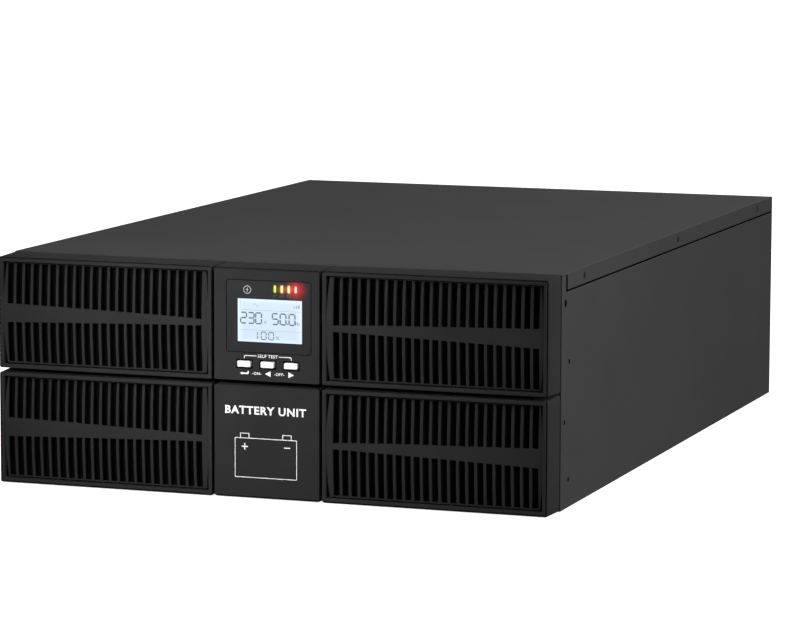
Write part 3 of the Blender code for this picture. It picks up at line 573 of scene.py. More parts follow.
# Black oxide screw heads, kept extra dark and dull so they also carry the countersink's shade as painted
# shade.
DARK_SCREW_AND_SHADE = Finish("black_oxide", (0.006, 0.006, 0.006), 0.6, specular=0.15, grain=2500, bump=0.00001)
MOULDING = Finish("black_moulding", (0.014, 0.014, 0.014), 0.48, specular=0.35, grain=2200, bump=0.00002)
RUBBER = Finish("black_rubber", (0.016, 0.016, 0.016), 0.8, specular=0.2, grain=1800, bump=0.00002)
GREY_MOULDING = Finish("grey_moulding", (0.22, 0.22, 0.23), 0.5, grain=2200, bump=0.00002)
PALE_MOULDING = Finish("pale_moulding", (0.7, 0.7, 0.7), 0.5, grain=2200, bump=0.00001)
GREEN_MOULDING = Finish("green_moulding", (0.02, 0.26, 0.07), 0.42, grain=2200, bump=0.00001)
GUARD = Finish("coated_wire", (0.03, 0.03, 0.03), 0.3, 0.3, specular=0.6, grain=900, bump=0.00001)
SLEEVE = Finish("capacitor_sleeve", (0.01, 0.02, 0.09), 0.25, coat=0.3, grain=400, bump=0.00003)
COPPER = Finish("enamelled_copper", (0.62, 0.24, 0.10), 0.28, 1.0, coat=0.6, grain=800, bump=0.00001)
BATTERY = Finish("battery_case", (0.05, 0.05, 0.055), 0.5, specular=0.4, grain=1500, bump=0.00004)
STICKER = Finish("battery_sticker", (0.40, 0.41, 0.42), 0.35, coat=0.4, drift=0.04, grain=900, bump=0.000004)
RED = Finish("red_terminal", (0.5, 0.02, 0.02), 0.4)
BOARD = Laminate("circuit_board", (0.015, 0.12, 0.045), 0.35, specular=0.5, grain=1500, bump=0.00001)
CLEAR = Finish("light_pipe", (0.85, 0.87, 0.88), 0.15, alpha=0.6, drift=0.02)


# ------------------------------------------------------------------ making pieces

WELD = 1e-6  # corners nearer than this are made one, in metres
SHARP = 34  # the angle past which an edge stays sharp, in degrees


def body_of(node: str) -> str:
    """The body that a CAD node rides on."""
    return frame["nodes"][node]["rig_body"]


def span(node: str) -> tuple[Array, Array]:
    """The lowest and highest corner of a CAD node, in millimetres."""
    low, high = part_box(node)
    return np.array(low) / MM, np.array(high) / MM


def put(
    name: str, shell: Shell, finish: Finish, node: str, replaces: bool = False, bevel: float = 0.0
) -> bpy.types.Object:
    """Makes a piece from a surface, dresses it and lets it ride.

    Args:
        name: The piece's name.
        shell: Its surface, in the shared frame.
        finish: Its finish.
        node: The CAD node whose body it rides on.
        replaces: Whether it stands for that node.
        bevel: The radius that its sharp edges are eased by.

    Returns:
        The piece.
    """
    data = bpy.data.meshes.new(name)
    faces = [row for face in shell.faces for row in face.tolist()]
    data.from_pydata((shell.points * MM).tolist(), [], faces)
    mesh = bmesh.new()
    mesh.from_mesh(data)
    bmesh.ops.remove_doubles(mesh, verts=mesh.verts, dist=WELD)
    loose = [vert for vert in mesh.verts if not vert.link_faces]
    bmesh.ops.delete(mesh, geom=loose, context="VERTS")
    bmesh.ops.recalc_face_normals(mesh, faces=mesh.faces)
    return settle(name, data, mesh, finish, node, replaces, bevel)


def eased(node: str, finish: Finish, radius: float) -> bpy.types.Object:
    """A copy of a CAD node with its facets made whole again and its edges eased.

    Args:
        node: The CAD node that it stands for.
        finish: Its finish.
        radius: How far its edges are eased.

    Returns:
        The piece.
    """
    data = frame["nodes"][node].data.copy()
    mesh = bmesh.new()
    mesh.from_mesh(data)
    bmesh.ops.remove_doubles(mesh, verts=mesh.verts, dist=WELD)
    bmesh.ops.dissolve_limit(
        mesh, angle_limit=math.radians(1.0), use_dissolve_boundaries=False,
        verts=mesh.verts, edges=mesh.edges,
    )
    return settle(f"{node}_skin", data, mesh, finish, node, True, radius)


def settle(
    name: str, data: bpy.types.Mesh, mesh: bmesh.types.BMesh, finish: Finish, node: str,
    replaces: bool, bevel: float,
) -> bpy.types.Object:
    """Finishes a mesh, links its piece, dresses it, eases it and lets it ride.

    Args:
        name: The piece's name.
        data: The mesh that the piece keeps.
        mesh: What goes into it; it is freed here.
        finish: The piece's finish.
        node: The CAD node whose body it rides on.
        replaces: Whether it stands for that node.
        bevel: The radius that its sharp edges are eased by.

    Returns:
        The piece.
    """
    mesh.to_mesh(data)
    mesh.free()
    data.shade_smooth()
    data.set_sharp_from_angle(angle=math.radians(SHARP))
    data.materials.clear()
    data.materials.append(finish.material())
    piece = bpy.data.objects.new(name, data)
    bpy.context.scene.collection.objects.link(piece)
    if bevel:
        ease = piece.modifiers.new("ease", "BEVEL")
        ease.width, ease.segments = bevel * MM, 2
        ease.limit_method, ease.angle_limit = "ANGLE", math.radians(40)
        ease.harden_normals = False
    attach(piece, body_of(node))
    if replaces:
        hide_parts(node)
    log.info("%s on %s", piece.name, body_of(node))
    return piece


def dressed(node: str, finish: Finish) -> None:
    """Gives a CAD node that stays as it is a better material."""
    data = frame["nodes"][node].data
    data.materials.clear()
    data.materials.append(finish.material())
    log.info("%s dressed", node)


def baked(curve: bpy.types.Curve) -> Shell:
    """The surface of a text or a filled outline, and the curve is thrown away."""
    holder = bpy.data.objects.new("outline", curve)
    bpy.context.scene.collection.objects.link(holder)
    graph = bpy.context.evaluated_depsgraph_get()
    data = bpy.data.meshes.new_from_object(holder.evaluated_get(graph))
    bpy.data.objects.remove(holder)
    points = np.empty(len(data.vertices) * 3)
    data.vertices.foreach_get("co", points)
    start, total = (np.empty(len(data.polygons), int) for _ in range(2))
    data.polygons.foreach_get("loop_start", start)
    data.polygons.foreach_get("loop_total", total)
    corner = np.empty(len(data.loops), int)
    data.loops.foreach_get("vertex_index", corner)
    faces = tuple(
        corner[start[total == size][:, None] + np.arange(size)] for size in np.unique(total)
    )
    bpy.data.meshes.remove(data)
    bpy.data.curves.remove(curve)
    return Shell(points.reshape(-1, 3), faces)


def plate(outlines: list[Array], y: float, thick: float) -> Shell:
    """A flat plate that faces the front, with openings.

    Args:
        outlines: Its own outline and those of its openings, as pairs of x and z.
        y: The y of its front.
        thick: Its thickness.

    Returns:
        The closed surface.
    """
    curve = bpy.data.curves.new("outline", "CURVE")
    curve.dimensions = "2D"
    curve.fill_mode = "BOTH"
    curve.extrude = thick / 2
    for outline in outlines:
        spline = curve.splines.new("POLY")
        spline.points.add(len(outline) - 1)
        padded = np.column_stack([outline, np.zeros(len(outline)), np.ones(len(outline))])
        spline.points.foreach_set("co", padded.ravel())
        spline.use_cyclic_u = True
    shell = baked(curve)
    x, z, depth = shell.points.T
    return Shell(np.stack([x, y + thick / 2 + depth, z], -1), shell.faces)


def lettering(
    text: str, height: float, centre: Pair, y: float, wide: float = 1.0, bold: float = 0.0,
    spacing: float = 1.0,
) -> Shell:
    """Plain letters standing 0.08 mm proud of a front face.

    Args:
        text: The letters.
        height: Their height.
        centre: The x and z of the line's middle.
        y: The y of the face.
        wide: How much wider than the plain font they are drawn.
        bold: How far the strokes are widened, in font units.
        spacing: How far apart the letters stand, 1 being the font's own.

    Returns:
        The closed surface.
    """
    curve = bpy.data.curves.new("letters", "FONT")
    curve.body = text
    curve.resolution_u = 3
    curve.offset = bold
    curve.space_character = spacing
    curve.extrude = 0.1
    shell = baked(curve)
    low, high = shell.points.min(0), shell.points.max(0)
    shift = (shell.points - (low + high) / 2) / (high[1] - low[1]) * height
    depth = np.where(shift[:, 2] > 0, -0.08, 0.06)
    points = np.stack([centre[0] + shift[:, 0] * wide, y + depth, centre[1] + shift[:, 1]], -1)
    return Shell(points, shell.faces)


def disc(radius: float, centre: Pair, steps: int = 24) -> Array:
    """A circle's outline: centre + radius (cos t, sin t)."""
    turn = np.linspace(0, math.tau, steps, endpoint=False)
    return np.stack([np.cos(turn), np.sin(turn)], -1) * radius + np.array(centre)


def cross(reach: float, width: float, centre: Pair) -> Array:
    """The outline of a cross with four square-ended arms."""
    arm = np.array([[width, reach], [-width, reach], [-width, width]])
    quarter = np.array([[0, -1], [1, 0]])
    arms = [arm @ np.linalg.matrix_power(quarter.T, k) for k in range(4)]
    return np.vstack(arms) + np.array(centre)


# ------------------------------------------------------------------ the front

GASKET = 2.4  # the thickness of the foam behind each front piece
F = span("upper_left_grille")[0][1]  # the front plane
B = span("upper_left_grille")[1][1] - GASKET  # where the front pieces meet their foam
ROW = {"lower": 43.75, "upper": 131.25}  # the middle of each row
GLASS = F + 0.15  # the display window's face
PROUD, INK = 0.06, 0.1  # how far a print stands out, and its thickness
FILM = 0.05  # the thickness of what the lit panel shows


@dataclass
class Bezel:
    """The shell that all six front pieces share: tapered walls and a shadow groove.

    The section runs from the back of the outer wall to a thin lip, down into a groove and
    in under the face. A side that meets a neighbour is shy: it has no lip, and leaves a
    plain gap.

    Attributes:
        taper: How far the back stands outside the front outline.
        wall: The wall's thickness.
        groove: The depth of the groove.
        seam: How far a shy side stands inside the front outline.
        radius: The corner radius of the outline.
    """

    taper: float = 1.5
    wall: float = 2.4
    groove: float = 2.4
    seam: float = 0.15
    radius: float = 1.2

    def steps(self, *further: Point) -> Array:
        """The section: for each step an inset, the same for a shy side, and a depth.

        Args:
            further: Steps that follow the shared ones, in millimetres.

        Returns:
            All steps, one to a row.
        """
        shy, low = self.seam, self.groove
        return np.array([
            (-self.taper, -self.taper, B - F), (-0.78, shy, 1.3), (-0.68, shy, 0.92),
            (-0.5, shy, 0.8), (-0.36, shy, 0.92), (-0.3, shy, low), (0.62, shy + 0.05, low), *further,
        ])

    def loops(
        self, steps: Array, low: Pair, high: Pair, free: Rect, shy: tuple[bool, bool, bool, bool],
    ) -> Array:
        """Rounded rectangles, one for each step.

        Args:
            steps: The section.
            low: The front outline's lowest x and z.
            high: Its highest x and z.
            free: For left, bottom, right and top, the share of a negative inset that is kept.
            shy: Which of these sides meet a neighbour.

        Returns:
            The loops.
        """
        inset = np.where(np.array([shy]), steps[:, 1:2], steps[:, :1])
        inset = np.where(inset < 0, inset * np.array([free]), inset)
        first, last = np.array(low) + inset[:, :2], np.array(high) - inset[:, 2:]
        made = []
        for lowest, highest, step in zip(first, last, steps):
            middle, half = (lowest + highest) / 2, (highest - lowest) / 2
            pair = rounded_rectangle(*half, max(self.radius - step[0] * 0.4, 0.3)) + middle
            made.append(np.insert(pair, 1, F + step[2], axis=1))
        return np.array(made)

    def gasket(self, node: str, low: Pair, high: Pair) -> None:
        """A ring of black foam behind a front piece, a little inside its outline.

        Args:
            node: The CAD node that it rides with.
            low: The lowest x and z at the back.
            high: The highest x and z at the back.
        """
        outer_low, outer_high = np.array(low) + 0.5, np.array(high) - 0.5
        middle, half = (outer_low + outer_high) / 2, (outer_high - outer_low) / 2
        loops = np.array([
            np.insert(rounded_rectangle(*(half - inset), 1.0) + middle, 1, y, axis=1)
            for inset, y in ((0, B), (0, B + GASKET), (2, B + GASKET), (2, B))
        ])
        put(f"{node}_gasket", loft(loops, ring=True), BLACK_FOAM_AND_SHADE, node)


@dataclass
class LouvreGrille(Bezel):
    """One louvred grille: a rim, a barrelled plate of slots with a wedge-shaped band, a near-black filter
    behind the slots that paints their shade.

    Attributes:
        side: Which side of the middle it is on.
        row: "upper" or "lower".
        inner: The x of its inner side.
        outer: The x of its outer side at the front.
        tall: Half its height at the front.
        rim: The width of its rim.
        slots: How many slots in a row.
        pitch: Their spacing.
        opening: Their width.
        first: The inner edge of the innermost slot.
        top: The height of the slots' upper ends over the middle.
        bottom: The depth of their lower ends under it.
        reach: Half the height of the slotted plate.
        thick: The plate's thickness.
        sunk: How far its middle lies behind the rim's face.
        barrel: How far it falls back from its middle to its edges.
        bow: How far its short ends curve in at the corners.
        tuck: How far they run under the rim at the middle.
        wedge: Half the band's height at the first slot and past the last one.
        bends: The power by which the band's upper and lower edges widen.
    """

    side: Side = Side.LEFT
    row: str = "upper"
    inner: float = 43.75
    outer: float = 217.5
    tall: float = 42.25
    rim: float = 3.1
    slots: int = 23
    pitch: float = 7.0
    opening: float = 5.0
    first: float = 52.2
    top: float = 37.9
    bottom: float = 37.3
    reach: float = 38.3
    thick: float = 2.2
    sunk: float = 0.7
    barrel: float = 2.1
    bow: float = 2.6
    tuck: float = 0.5
    wedge: Pair = (2.3, 7.25)
    bends: Pair = (0.75, 1.1)
    seam: float = 0.2

    @property
    def node(self) -> str:
        """The CAD node that it stands for."""
        return f"{self.row}_{self.side.name.lower()}_grille"

    @property
    def middle(self) -> float:
        """The height of its middle."""
        return ROW[self.row]

    def mirrored(self, shell: Shell) -> Shell:
        """The shell, drawn for the right side, brought to its own side."""
        return Shell(shell.points * np.array([self.side.value, 1, 1]), shell.faces)

    def surround(self) -> Shell:
        """The rim and walls, a profile carried once round the outline."""
        rim, wall, seam = self.rim, self.wall, self.seam
        steps = self.steps(
            (0.65, seam + 0.05, 0.3), (0.72, seam + 0.12, 0.1), (0.92, seam + 0.32, 0.0),
            (rim - 0.35, rim - 0.35, 0.0), (rim - 0.1, rim - 0.1, 0.1), (rim, rim, 0.35), (rim, rim, 7.0),
            (wall, wall, 9.0), (wall - 1.2, wall - 1.2, B - F),
        )
        upper = self.row == "upper"
        loops = self.loops(
            steps, (self.inner, self.middle - self.tall), (self.outer, self.middle + self.tall),
            (0.0, 0.8, 1.0, 0.8), (True, upper, False, not upper),
        )
        return loft(loops, ring=True)

    def band(self, x: Array, bend: float) -> Array:
        """Half the band's height: h = inner + (outer - inner) t^bend, with t from 0 inside to 1 outside."""
        share = np.clip((x - self.first) / (self.pitch * self.slots), 0, 1)
        inner, outer = self.wedge
        return inner + (outer - inner) * share ** bend

    def louvres(self) -> Shell:
        """The slotted plate, on a grid whose inner rows follow the band.

        Its front falls back with height as y = y0 + barrel (z / reach)^2.
        """
        start = self.first + np.arange(self.slots) * self.pitch
        edges = np.stack([start, start + self.opening], -1).ravel()
        x = np.concatenate([[self.inner + self.rim], edges, [self.outer - self.rim]])
        up, down = (self.band(x, bend) for bend in self.bends)
        cells, reach = 5, self.reach
        share = np.linspace(0, 1, cells + 1)[:, None]
        rows = np.vstack([
            np.full((1, len(x)), -reach), -self.bottom + share * (self.bottom - down), up * 0.0,
            up + share * (self.top - up), np.full((1, len(x)), reach),
        ])
        wide = np.broadcast_to(x, rows.shape).copy()
        inward = self.bow * (np.abs(rows[:, 0]) / reach) ** 1.4 - self.tuck
        wide[:, 0] += inward
        wide[:, -1] -= inward
        solid = np.ones((rows.shape[0] - 1, len(x) - 1), bool)
        solid[1:1 + cells, 1::2] = False
        solid[-1 - cells:-1, 1::2] = False
        near = F + self.sunk + self.barrel * (rows / reach) ** 2
        return pierced(wide, rows + self.middle, near, near + self.thick, solid)

    def build(self) -> None:
        """Makes the rim, the louvres and the filter behind them, near black so that the slots show as painted
        shade.
        """
        slot, node = "front_plastic", self.node
        put(f"{node}_rim", self.mirrored(self.surround()), BEZEL, node, replaces=True)
        put(f"{node}_louvres", self.mirrored(self.louvres()), BEZEL, node, bevel=0.3)
        x = sorted((self.side.value * self.inner, self.side.value * (self.outer + self.taper)))
        self.gasket(node, (x[0], self.middle - 43.4), (x[1], self.middle + 43.4))
        low = (self.inner + 2.9, F + 7.5, self.middle - 39.4)
        high = (self.outer - 2.9, F + 10, self.middle + 39.4)
        put(f"{node}_filter", self.mirrored(block(low, high, 1, 0.4)), BLACK_FOAM_AND_SHADE, node)


@dataclass
class SquareModule(Bezel):
    """A square front piece, open at the back, round the middle of a row.

    Attributes:
        node: The CAD node that the shell stands for.
        row: "upper" or "lower".
        half: Half its side at the front.
    """

    node: str = "display_housing"
    row: str = "upper"
    half: float = 41.9

    @property
    def middle(self) -> float:
        """The height of its middle."""
        return ROW[self.row]

    @property
    def shy(self) -> tuple[bool, bool, bool, bool]:
        """Which sides meet a neighbour: left, bottom, right and top."""
        upper = self.row == "upper"
        return (True, upper, True, not upper)

    def walls(self) -> Shell:
        """The tapered walls with their groove, a profile carried once round."""
        inside = [(3.2, 3.2, self.groove + 0.3), (self.wall - 1.4, self.wall - 1.4, B - F)]
        loops = self.loops(
            self.steps(*inside), (-self.half, self.middle - self.half),
            (self.half, self.middle + self.half), (1.0, 1.0, 1.0, 1.0), self.shy,
        )
        return loft(loops, ring=True)

    def outline(self) -> Array:
        """The face's outline, inside the groove."""
        inset = np.where(self.shy, self.seam, 0.64)
        low = np.array([-self.half, self.middle - self.half]) + inset[:2]
        high = np.array([self.half, self.middle + self.half]) - inset[2:]
        return rounded_rectangle(*((high - low) / 2), 0.9) + (low + high) / 2


@dataclass
class DisplayModule(SquareModule):
    """The display: housing, smoked window, lit panel, indicators, prints and buttons.

    Attributes:
        window: The window's middle and half size, as x, z, half width and half height.
        panel: The lit panel's, the same way.
        led_x: The x of the first indicator.
        led_pitch: The indicators' spacing.
        led_z: Their height.
        button_x: The x of the middle button.
        button_pitch: The buttons' spacing.
        button_z: Their height.
        emblem: The x and z of the power sign's middle.
        signs_z: The height of the signs under the indicators.
        marks_z: The height of the marks under the buttons.
    """

    window: Rect = (1.65, 137.7, 33.4, 26.8)
    panel: Rect = (2.45, 134.75, 25.6, 16.05)
    led_x: float = 6.65
    led_pitch: float = 5.5
    led_z: float = 158.9
    button_x: float = 1.05
    button_pitch: float = 18.6
    button_z: float = 101.9
    emblem: Pair = (-15.3, 157.6)
    signs_z: float = 154.0
    marks_z: float = 95.2

    LAMPS = (
        ("on_line", (0.35, 0.45, 0.01), (0.66, 0.92, 0.06)),
        ("on_battery", (1.0, 0.50, 0.13), (1.0, 0.84, 0.50)),
        ("on_bypass", (1.0, 0.42, 0.10), (1.0, 0.80, 0.45)),
        ("fault", (1.0, 0.08, 0.10), (1.0, 0.80, 0.80)),
    )
    # Painted halos of light on the window round each indicator: the radius and colour of each glow.
    PAINTED_HALOS = (
        (4.0, (0.08, 0.10, 0.0)), (5.5, (0.75, 0.27, 0.01)), (5.5, (0.75, 0.25, 0.01)),
        (11.5, (1.2, 0.008, 0.03)),
    )
    SEGMENTS = {"0": "abcdef", "1": "bc", "2": "abged", "3": "abgcd", "5": "afgcd"}

    def led_places(self) -> Array:
        """The x of each indicator."""
        return self.led_x + np.arange(4) * self.led_pitch

    def button_places(self) -> Array:
        """The x of each button."""
        return self.button_x + np.array([-1, 0, 1]) * self.button_pitch

    def rectangle(self, x: float, z: float, half_x: float, half_z: float, radius: float) -> Array:
        """The outline of a rounded rectangle on the face."""
        return rounded_rectangle(half_x, half_z, radius) + np.array([x, z])

    def housing(self) -> None:
        """The walls and the face, open for the window and the buttons, with near-black backing behind the
        openings as painted shade.
        """
        put("display_walls", self.walls(), BEZEL, self.node, replaces=True)
        back = self.half + self.taper
        self.gasket(self.node, (-back, self.middle - back), (back, self.middle + back))
        holes = [self.rectangle(*self.window[:2], self.window[2] + 0.5, self.window[3] + 0.5, 2.4)]
        holes += [self.rectangle(x, self.button_z, 6.7, 3.6, 0.7) for x in self.button_places()]
        face = plate([self.outline(), *holes], F, 3)
        put("display_face", face, BEZEL, self.node, bevel=0.22)
        middle = np.array(self.window[:2])
        reach = np.array(self.window[2:])
        outer, inner = rounded_rectangle(*(reach + 2), 2), rounded_rectangle(*(reach - 1.2), 1.0)
        ledge = plate([outer + middle, inner + middle], F + 1.4, 1.5)
        put("window_ledge", ledge, WELL_SHADE, self.node)
        wells = joined([
            block((x - 7.6, F + 3, self.button_z - 4.4), (x + 7.6, F + 3.3, self.button_z + 4.4),
                  0.6, 0.05) for x in self.button_places()
        ])
        put("button_wells", wells, WELL_SHADE, self.node)

    def glass(self) -> None:
        """The smoked window, clear over the panel and the indicators, with painted halos of light round the
        indicators.
        """
        x, z, half_x, half_z = self.window
        holes = [self.rectangle(*self.panel, 0.25)]
        holes += [self.rectangle(led, self.led_z, 1.15, 3.0, 0.5) for led in self.led_places()]
        lamps = tuple(
            (float(led), self.led_z, radius, light)
            for led, (radius, light) in zip(self.led_places(), self.PAINTED_HALOS)
        )
        # The window paints a halo of light round each indicator into its own glow.
        tint_and_halos = PaintedHaloWindow("display_overlay", (0.0105, 0.0105, 0.0115), 0.45, specular=0.2, grain=3000,
                       bump=0.000005, lamps=lamps, front=GLASS)
        face = plate([self.rectangle(x, z, half_x, half_z, 2), *holes], GLASS, 0.85)
        put("display_glass", face, tint_and_halos, "display_window", replaces=True, bevel=0.12)

    def lit_panel(self) -> None:
        """The backlit panel with its figures."""
        x, z, half_x, half_z = self.panel
        glow = Backlight("lcd_backlight", (0.03, 0.035, 0.04), 0.4, specular=0.2, drift=0.05, grain=300,
                         light=(0.66, 0.79, 0.93), strength=0.98, centre=(x, z), half=(half_x, half_z),
                         rim=1.22)
        low, high = span("lcd_panel")
        low[1] = F + 1.1
        put("lcd_cell", block(low, high, 0.5, 0.05), glow, "lcd_panel", replaces=True)
        y = F + 1.06
        rows = (  # each row's foot, its figures' width and height, and the figures' left sides
            (132.4, 4.6, 8, (("2", -20.9), ("3", -14.9), ("0", -8.9), ("5", 4.3), ("0", 10.5), ("0", 17.6))),
            (120.7, 3.9, 5.6, (("1", -11.4), ("0", -4.6), ("0", 1.4))),
        )
        figures = [
            self.digit(figure, left, foot, wide, tall, y)
            for foot, wide, tall, digits in rows for figure, left in digits
        ]
        figures.append(flat(self.rectangle(16.4, 132.9, 0.45, 0.45, 0.1), y, FILM))
        figures.append(lettering("V", 2.2, (-1.3, 133.6), y + 0.03))
        figures.append(lettering("Hz", 2.2, (24.4, 133.6), y + 0.03))
        figures.append(lettering("%", 2.4, (8.4, 122.3), y + 0.03))
        put("lcd_figures", joined(figures), SEGMENT, "lcd_panel")
        rules = [flat(stroke(np.array([[-21.5, h], [27.2, h]]), 0.22), y, FILM) for h in (142.4, 127.4)]
        rules.append(flat(stroke(np.array([[-21.0, 150.2], [-21.0, 143.4]]), 0.2), y, FILM))
        wave = np.linspace(0, math.tau, 25)
        sine = np.stack([-11 + wave * 0.75, 146.2 + np.sin(wave)], -1)
        rules.append(flat(stroke(sine, 0.35), y, FILM))
        rules += [
            flat(self.rectangle(21.6 + 1.9 * i, 145.6 + 0.35 * i, 0.55, 0.5 + 0.45 * i, 0.1), y, FILM)
            for i in range(3)
        ]
        put("lcd_rules", joined(rules), RULE, "lcd_panel")

    def digit(self, figure: str, left: float, low: float, wide: float, tall: float, y: float) -> Shell:
        """A seven-segment figure: each lit segment is a bar with pointed ends.

        Args:
            figure: The figure.
            left: The x of its left side.
            low: The z of its foot.
            wide: Its width.
            tall: Its height.
            y: The y of its face.

        Returns:
            The lit segments.
        """
        half, gap = tall * 0.062, tall * 0.025
        right, top, mid = left + wide, low + tall, low + tall / 2
        ends = {
            "a": (left, top, right, top), "b": (right, top, right, mid), "c": (right, mid, right, low),
            "d": (left, low, right, low), "e": (left, mid, left, low), "f": (left, top, left, mid),
            "g": (left, mid, right, mid),
        }
        lit = np.array([ends[name] for name in self.SEGMENTS[figure]]).reshape(-1, 2, 2)
        run = lit[:, 1] - lit[:, 0]
        ahead = run / np.linalg.norm(run, axis=1, keepdims=True)
        over = ahead[:, ::-1] * np.array([-1, 1])
        first, last = lit[:, 0] + ahead * gap, lit[:, 1] - ahead * gap
        hexagons = np.stack([
            first, first + (ahead + over) * half, last + (over - ahead) * half,
            last, last - (ahead + over) * half, first + (ahead - over) * half,
        ], 1)
        return joined([flat(hexagon, y, FILM) for hexagon in hexagons])

    def indicators(self) -> None:
        """The four lit lenses and the light pipes behind them."""
        for led, (name, rim, heart) in zip(self.led_places(), self.LAMPS):
            parts = (("lens", 1.1, 2.95, 0.2, rim), ("core", 0.85, 2.4, 0.15, heart))
            for part, half_x, half_z, y, light in parts:
                shell = block((led - half_x, F + y, self.led_z - half_z),
                              (led + half_x, F + 3.2, self.led_z + half_z), half_x * 0.8, 0.2)
                unlit = tuple(c * 0.2 for c in light)
                glow = Glow(f"{name}_{part}", unlit, 0.4, specular=0.2, drift=0.02, light=light)
                put(f"{name}_{part}", shell, glow, "light_pipes")
        dressed("light_pipes", CLEAR)

    def prints(self) -> None:
        """The generic signs on the window and round the buttons."""
        ring = plate([disc(3.1, self.emblem), disc(2.55, self.emblem)], GLASS - PROUD, INK)
        bolt = np.array([(0.5, 2.0), (-1.1, -0.3), (-0.15, -0.3), (-0.5, -2.0), (1.1, 0.35), (0.15, 0.35)])
        emblem = ring + flat(bolt + np.array(self.emblem), GLASS - PROUD, INK)
        put("power_emblem", emblem, PALE_PRINT, "display_window")
        signs = []
        wave = np.linspace(-1, 1, 17)
        for i, led in enumerate(self.led_places()):
            x, z = led, self.signs_z
            if i == 0:
                line = np.stack([x + wave * 1.6, z + np.sin(wave * math.pi) * 0.6], -1)
                signs.append(flat(stroke(line, 0.3), GLASS - 0.05, 0.08))
            elif i == 3:
                line = np.array([(-1.6, -0.9), (0, 1.2), (1.6, -0.9)]) + np.array([x, z])
                signs.append(flat(stroke(line, 0.3), GLASS - 0.05, 0.08))
            else:
                outer = self.rectangle(x, z, 1.5, 0.95, 0.2)
                inner = self.rectangle(x, z, 1.2, 0.65, 0.1)
                signs.append(plate([outer, inner], GLASS - 0.05, 0.08))
        put("indicator_signs", joined(signs), FAINT_PRINT, "display_window")

        a, b, c = self.button_places()
        reach, rise, drop = 0.55, 108.3, 106.1
        bracket = [
            mitred(np.array([(a, drop), (a, rise - reach), (a + reach, rise), (a + 9.6, rise)]), 0.5),
            mitred(np.array([(c - 9.6, rise), (c - reach, rise), (c, rise - reach), (c, drop)]), 0.5),
        ]
        marks = [flat(line, F - PROUD, INK) for line in bracket]
        marks.append(lettering("SELF TEST", 2.3, (b, rise), F, wide=1.05, bold=0.008, spacing=1.1))
        z = self.marks_z
        enter = np.array([
            (-3.4, -0.3), (-1.6, 0.9), (-1.6, 0.25), (2.5, 0.25), (2.5, 1.6), (3.4, 1.6), (3.4, -0.75),
            (-1.6, -0.75), (-1.6, -1.4),
        ])
        marks.append(flat(enter + np.array([a, z]), F - PROUD, INK))
        triangle = np.array([(-2.3, 0), (2.2, 2.1), (2.2, -2.1)])
        marks.append(flat(triangle + np.array([b, z]), F - PROUD, INK))
        marks.append(flat(triangle * np.array([-1, 1]) + np.array([c, z]), F - PROUD, INK))
        marks.append(lettering("-ON-", 2.2, ((a + b) / 2 + 0.6, z), F, bold=0.01, spacing=1.12))
        marks.append(lettering("-OFF-", 2.2, ((b + c) / 2 - 0.1, z), F, bold=0.01, spacing=1.12))
        put("button_signs", joined(marks), PRINT, self.node)

    def buttons(self) -> None:
        """The three white buttons, with a faint painted glow."""
        for name, x in zip(("left_button", "middle_button", "right_button"), self.button_places()):
            low, high = span(name)
            cap = block((x - 5.35, low[1], self.button_z - 2.15),
                        (x + 4.95, F + 3.2, self.button_z + 2.25), 0.7, 0.45)
            stem = block((x - 2, F + 3, self.button_z - 2),
                         (x + 2, high[1], self.button_z + 2), 0.4, 0.2)
            put(f"{name}_cap", cap + stem, GLOWING_CAP, name, replaces=True)

    def inside(self) -> None:
        """The board and the back plate."""
        eased("display_back", BEZEL, 0.4)
        eased("display_board", BOARD, 0.1)

    def build(self) -> None:
        """Makes all of the module."""
        self.housing()
        self.glass()
        self.lit_panel()
        self.indicators()
        self.prints()
        self.buttons()
        self.inside()


@dataclass
class BatteryBadge(SquareModule):
    """The lower centre panel, printed with a battery sign and a generic name.

    Attributes:
        words: The name.
        place: The x and z of its middle.
        wide: Its width.
        sign: The battery sign's lowest x and z and highest x and z.
    """

    node: str = "battery_badge"
    row: str = "lower"
    words: str = "BATTERY UNIT"
    place: Pair = (-0.8, 67.3)
    wide: float = 64.5
    sign: Rect = (-25.4, 16.5, 24.2, 46.5)

    def build(self) -> None:
        """Makes the shell, the face and the prints."""
        put("badge_walls", self.walls(), BEZEL, self.node, replaces=True)
        back = self.half + self.taper
        self.gasket(self.node, (-back, self.middle - back), (back, self.middle + back))
        put("badge_face", plate([self.outline()], F, 3), BEZEL, self.node, bevel=0.25)
        y = F - PROUD
        x0, z0, x1, z1 = self.sign
        middle, half = np.array([(x0 + x1) / 2, (z0 + z1) / 2]), np.array([(x1 - x0) / 2, (z1 - z0) / 2])
        line = 0.48
        outer, inner = rounded_rectangle(*half, 0.8), rounded_rectangle(*(half - line), 0.5)
        case = plate([outer + middle, inner + middle], y, INK)
        foot, reach, rise = z1 + 0.02, 3.4, 3.3
        corners = np.array([(-reach, 0), (-reach, rise), (reach, rise), (reach, 0)]) + np.array([0, foot])
        posts = [flat(mitred(corners + np.array([x, 0]), line), y, INK) for x in (-17.4, 16.3)]
        plus = flat(cross(2.5, 0.4, (-17.4, 39.9)), y, INK)
        minus = flat(rounded_rectangle(2.5, 0.4, 0.1) + np.array([16.4, 40.4]), y, INK)
        put("battery_sign", joined([case, *posts, plus, minus]), PRINT, self.node)
        words = lettering(self.words, 6.2, self.place, F, bold=0.03, spacing=1.12)
        points, x = words.points.copy(), self.place[0]
        points[:, 0] = (points[:, 0] - x) * (self.wide / np.ptp(points[:, 0])) + x
        put("badge_words", Shell(points, words.faces), PRINT, self.node)


# ------------------------------------------------------------------ the case

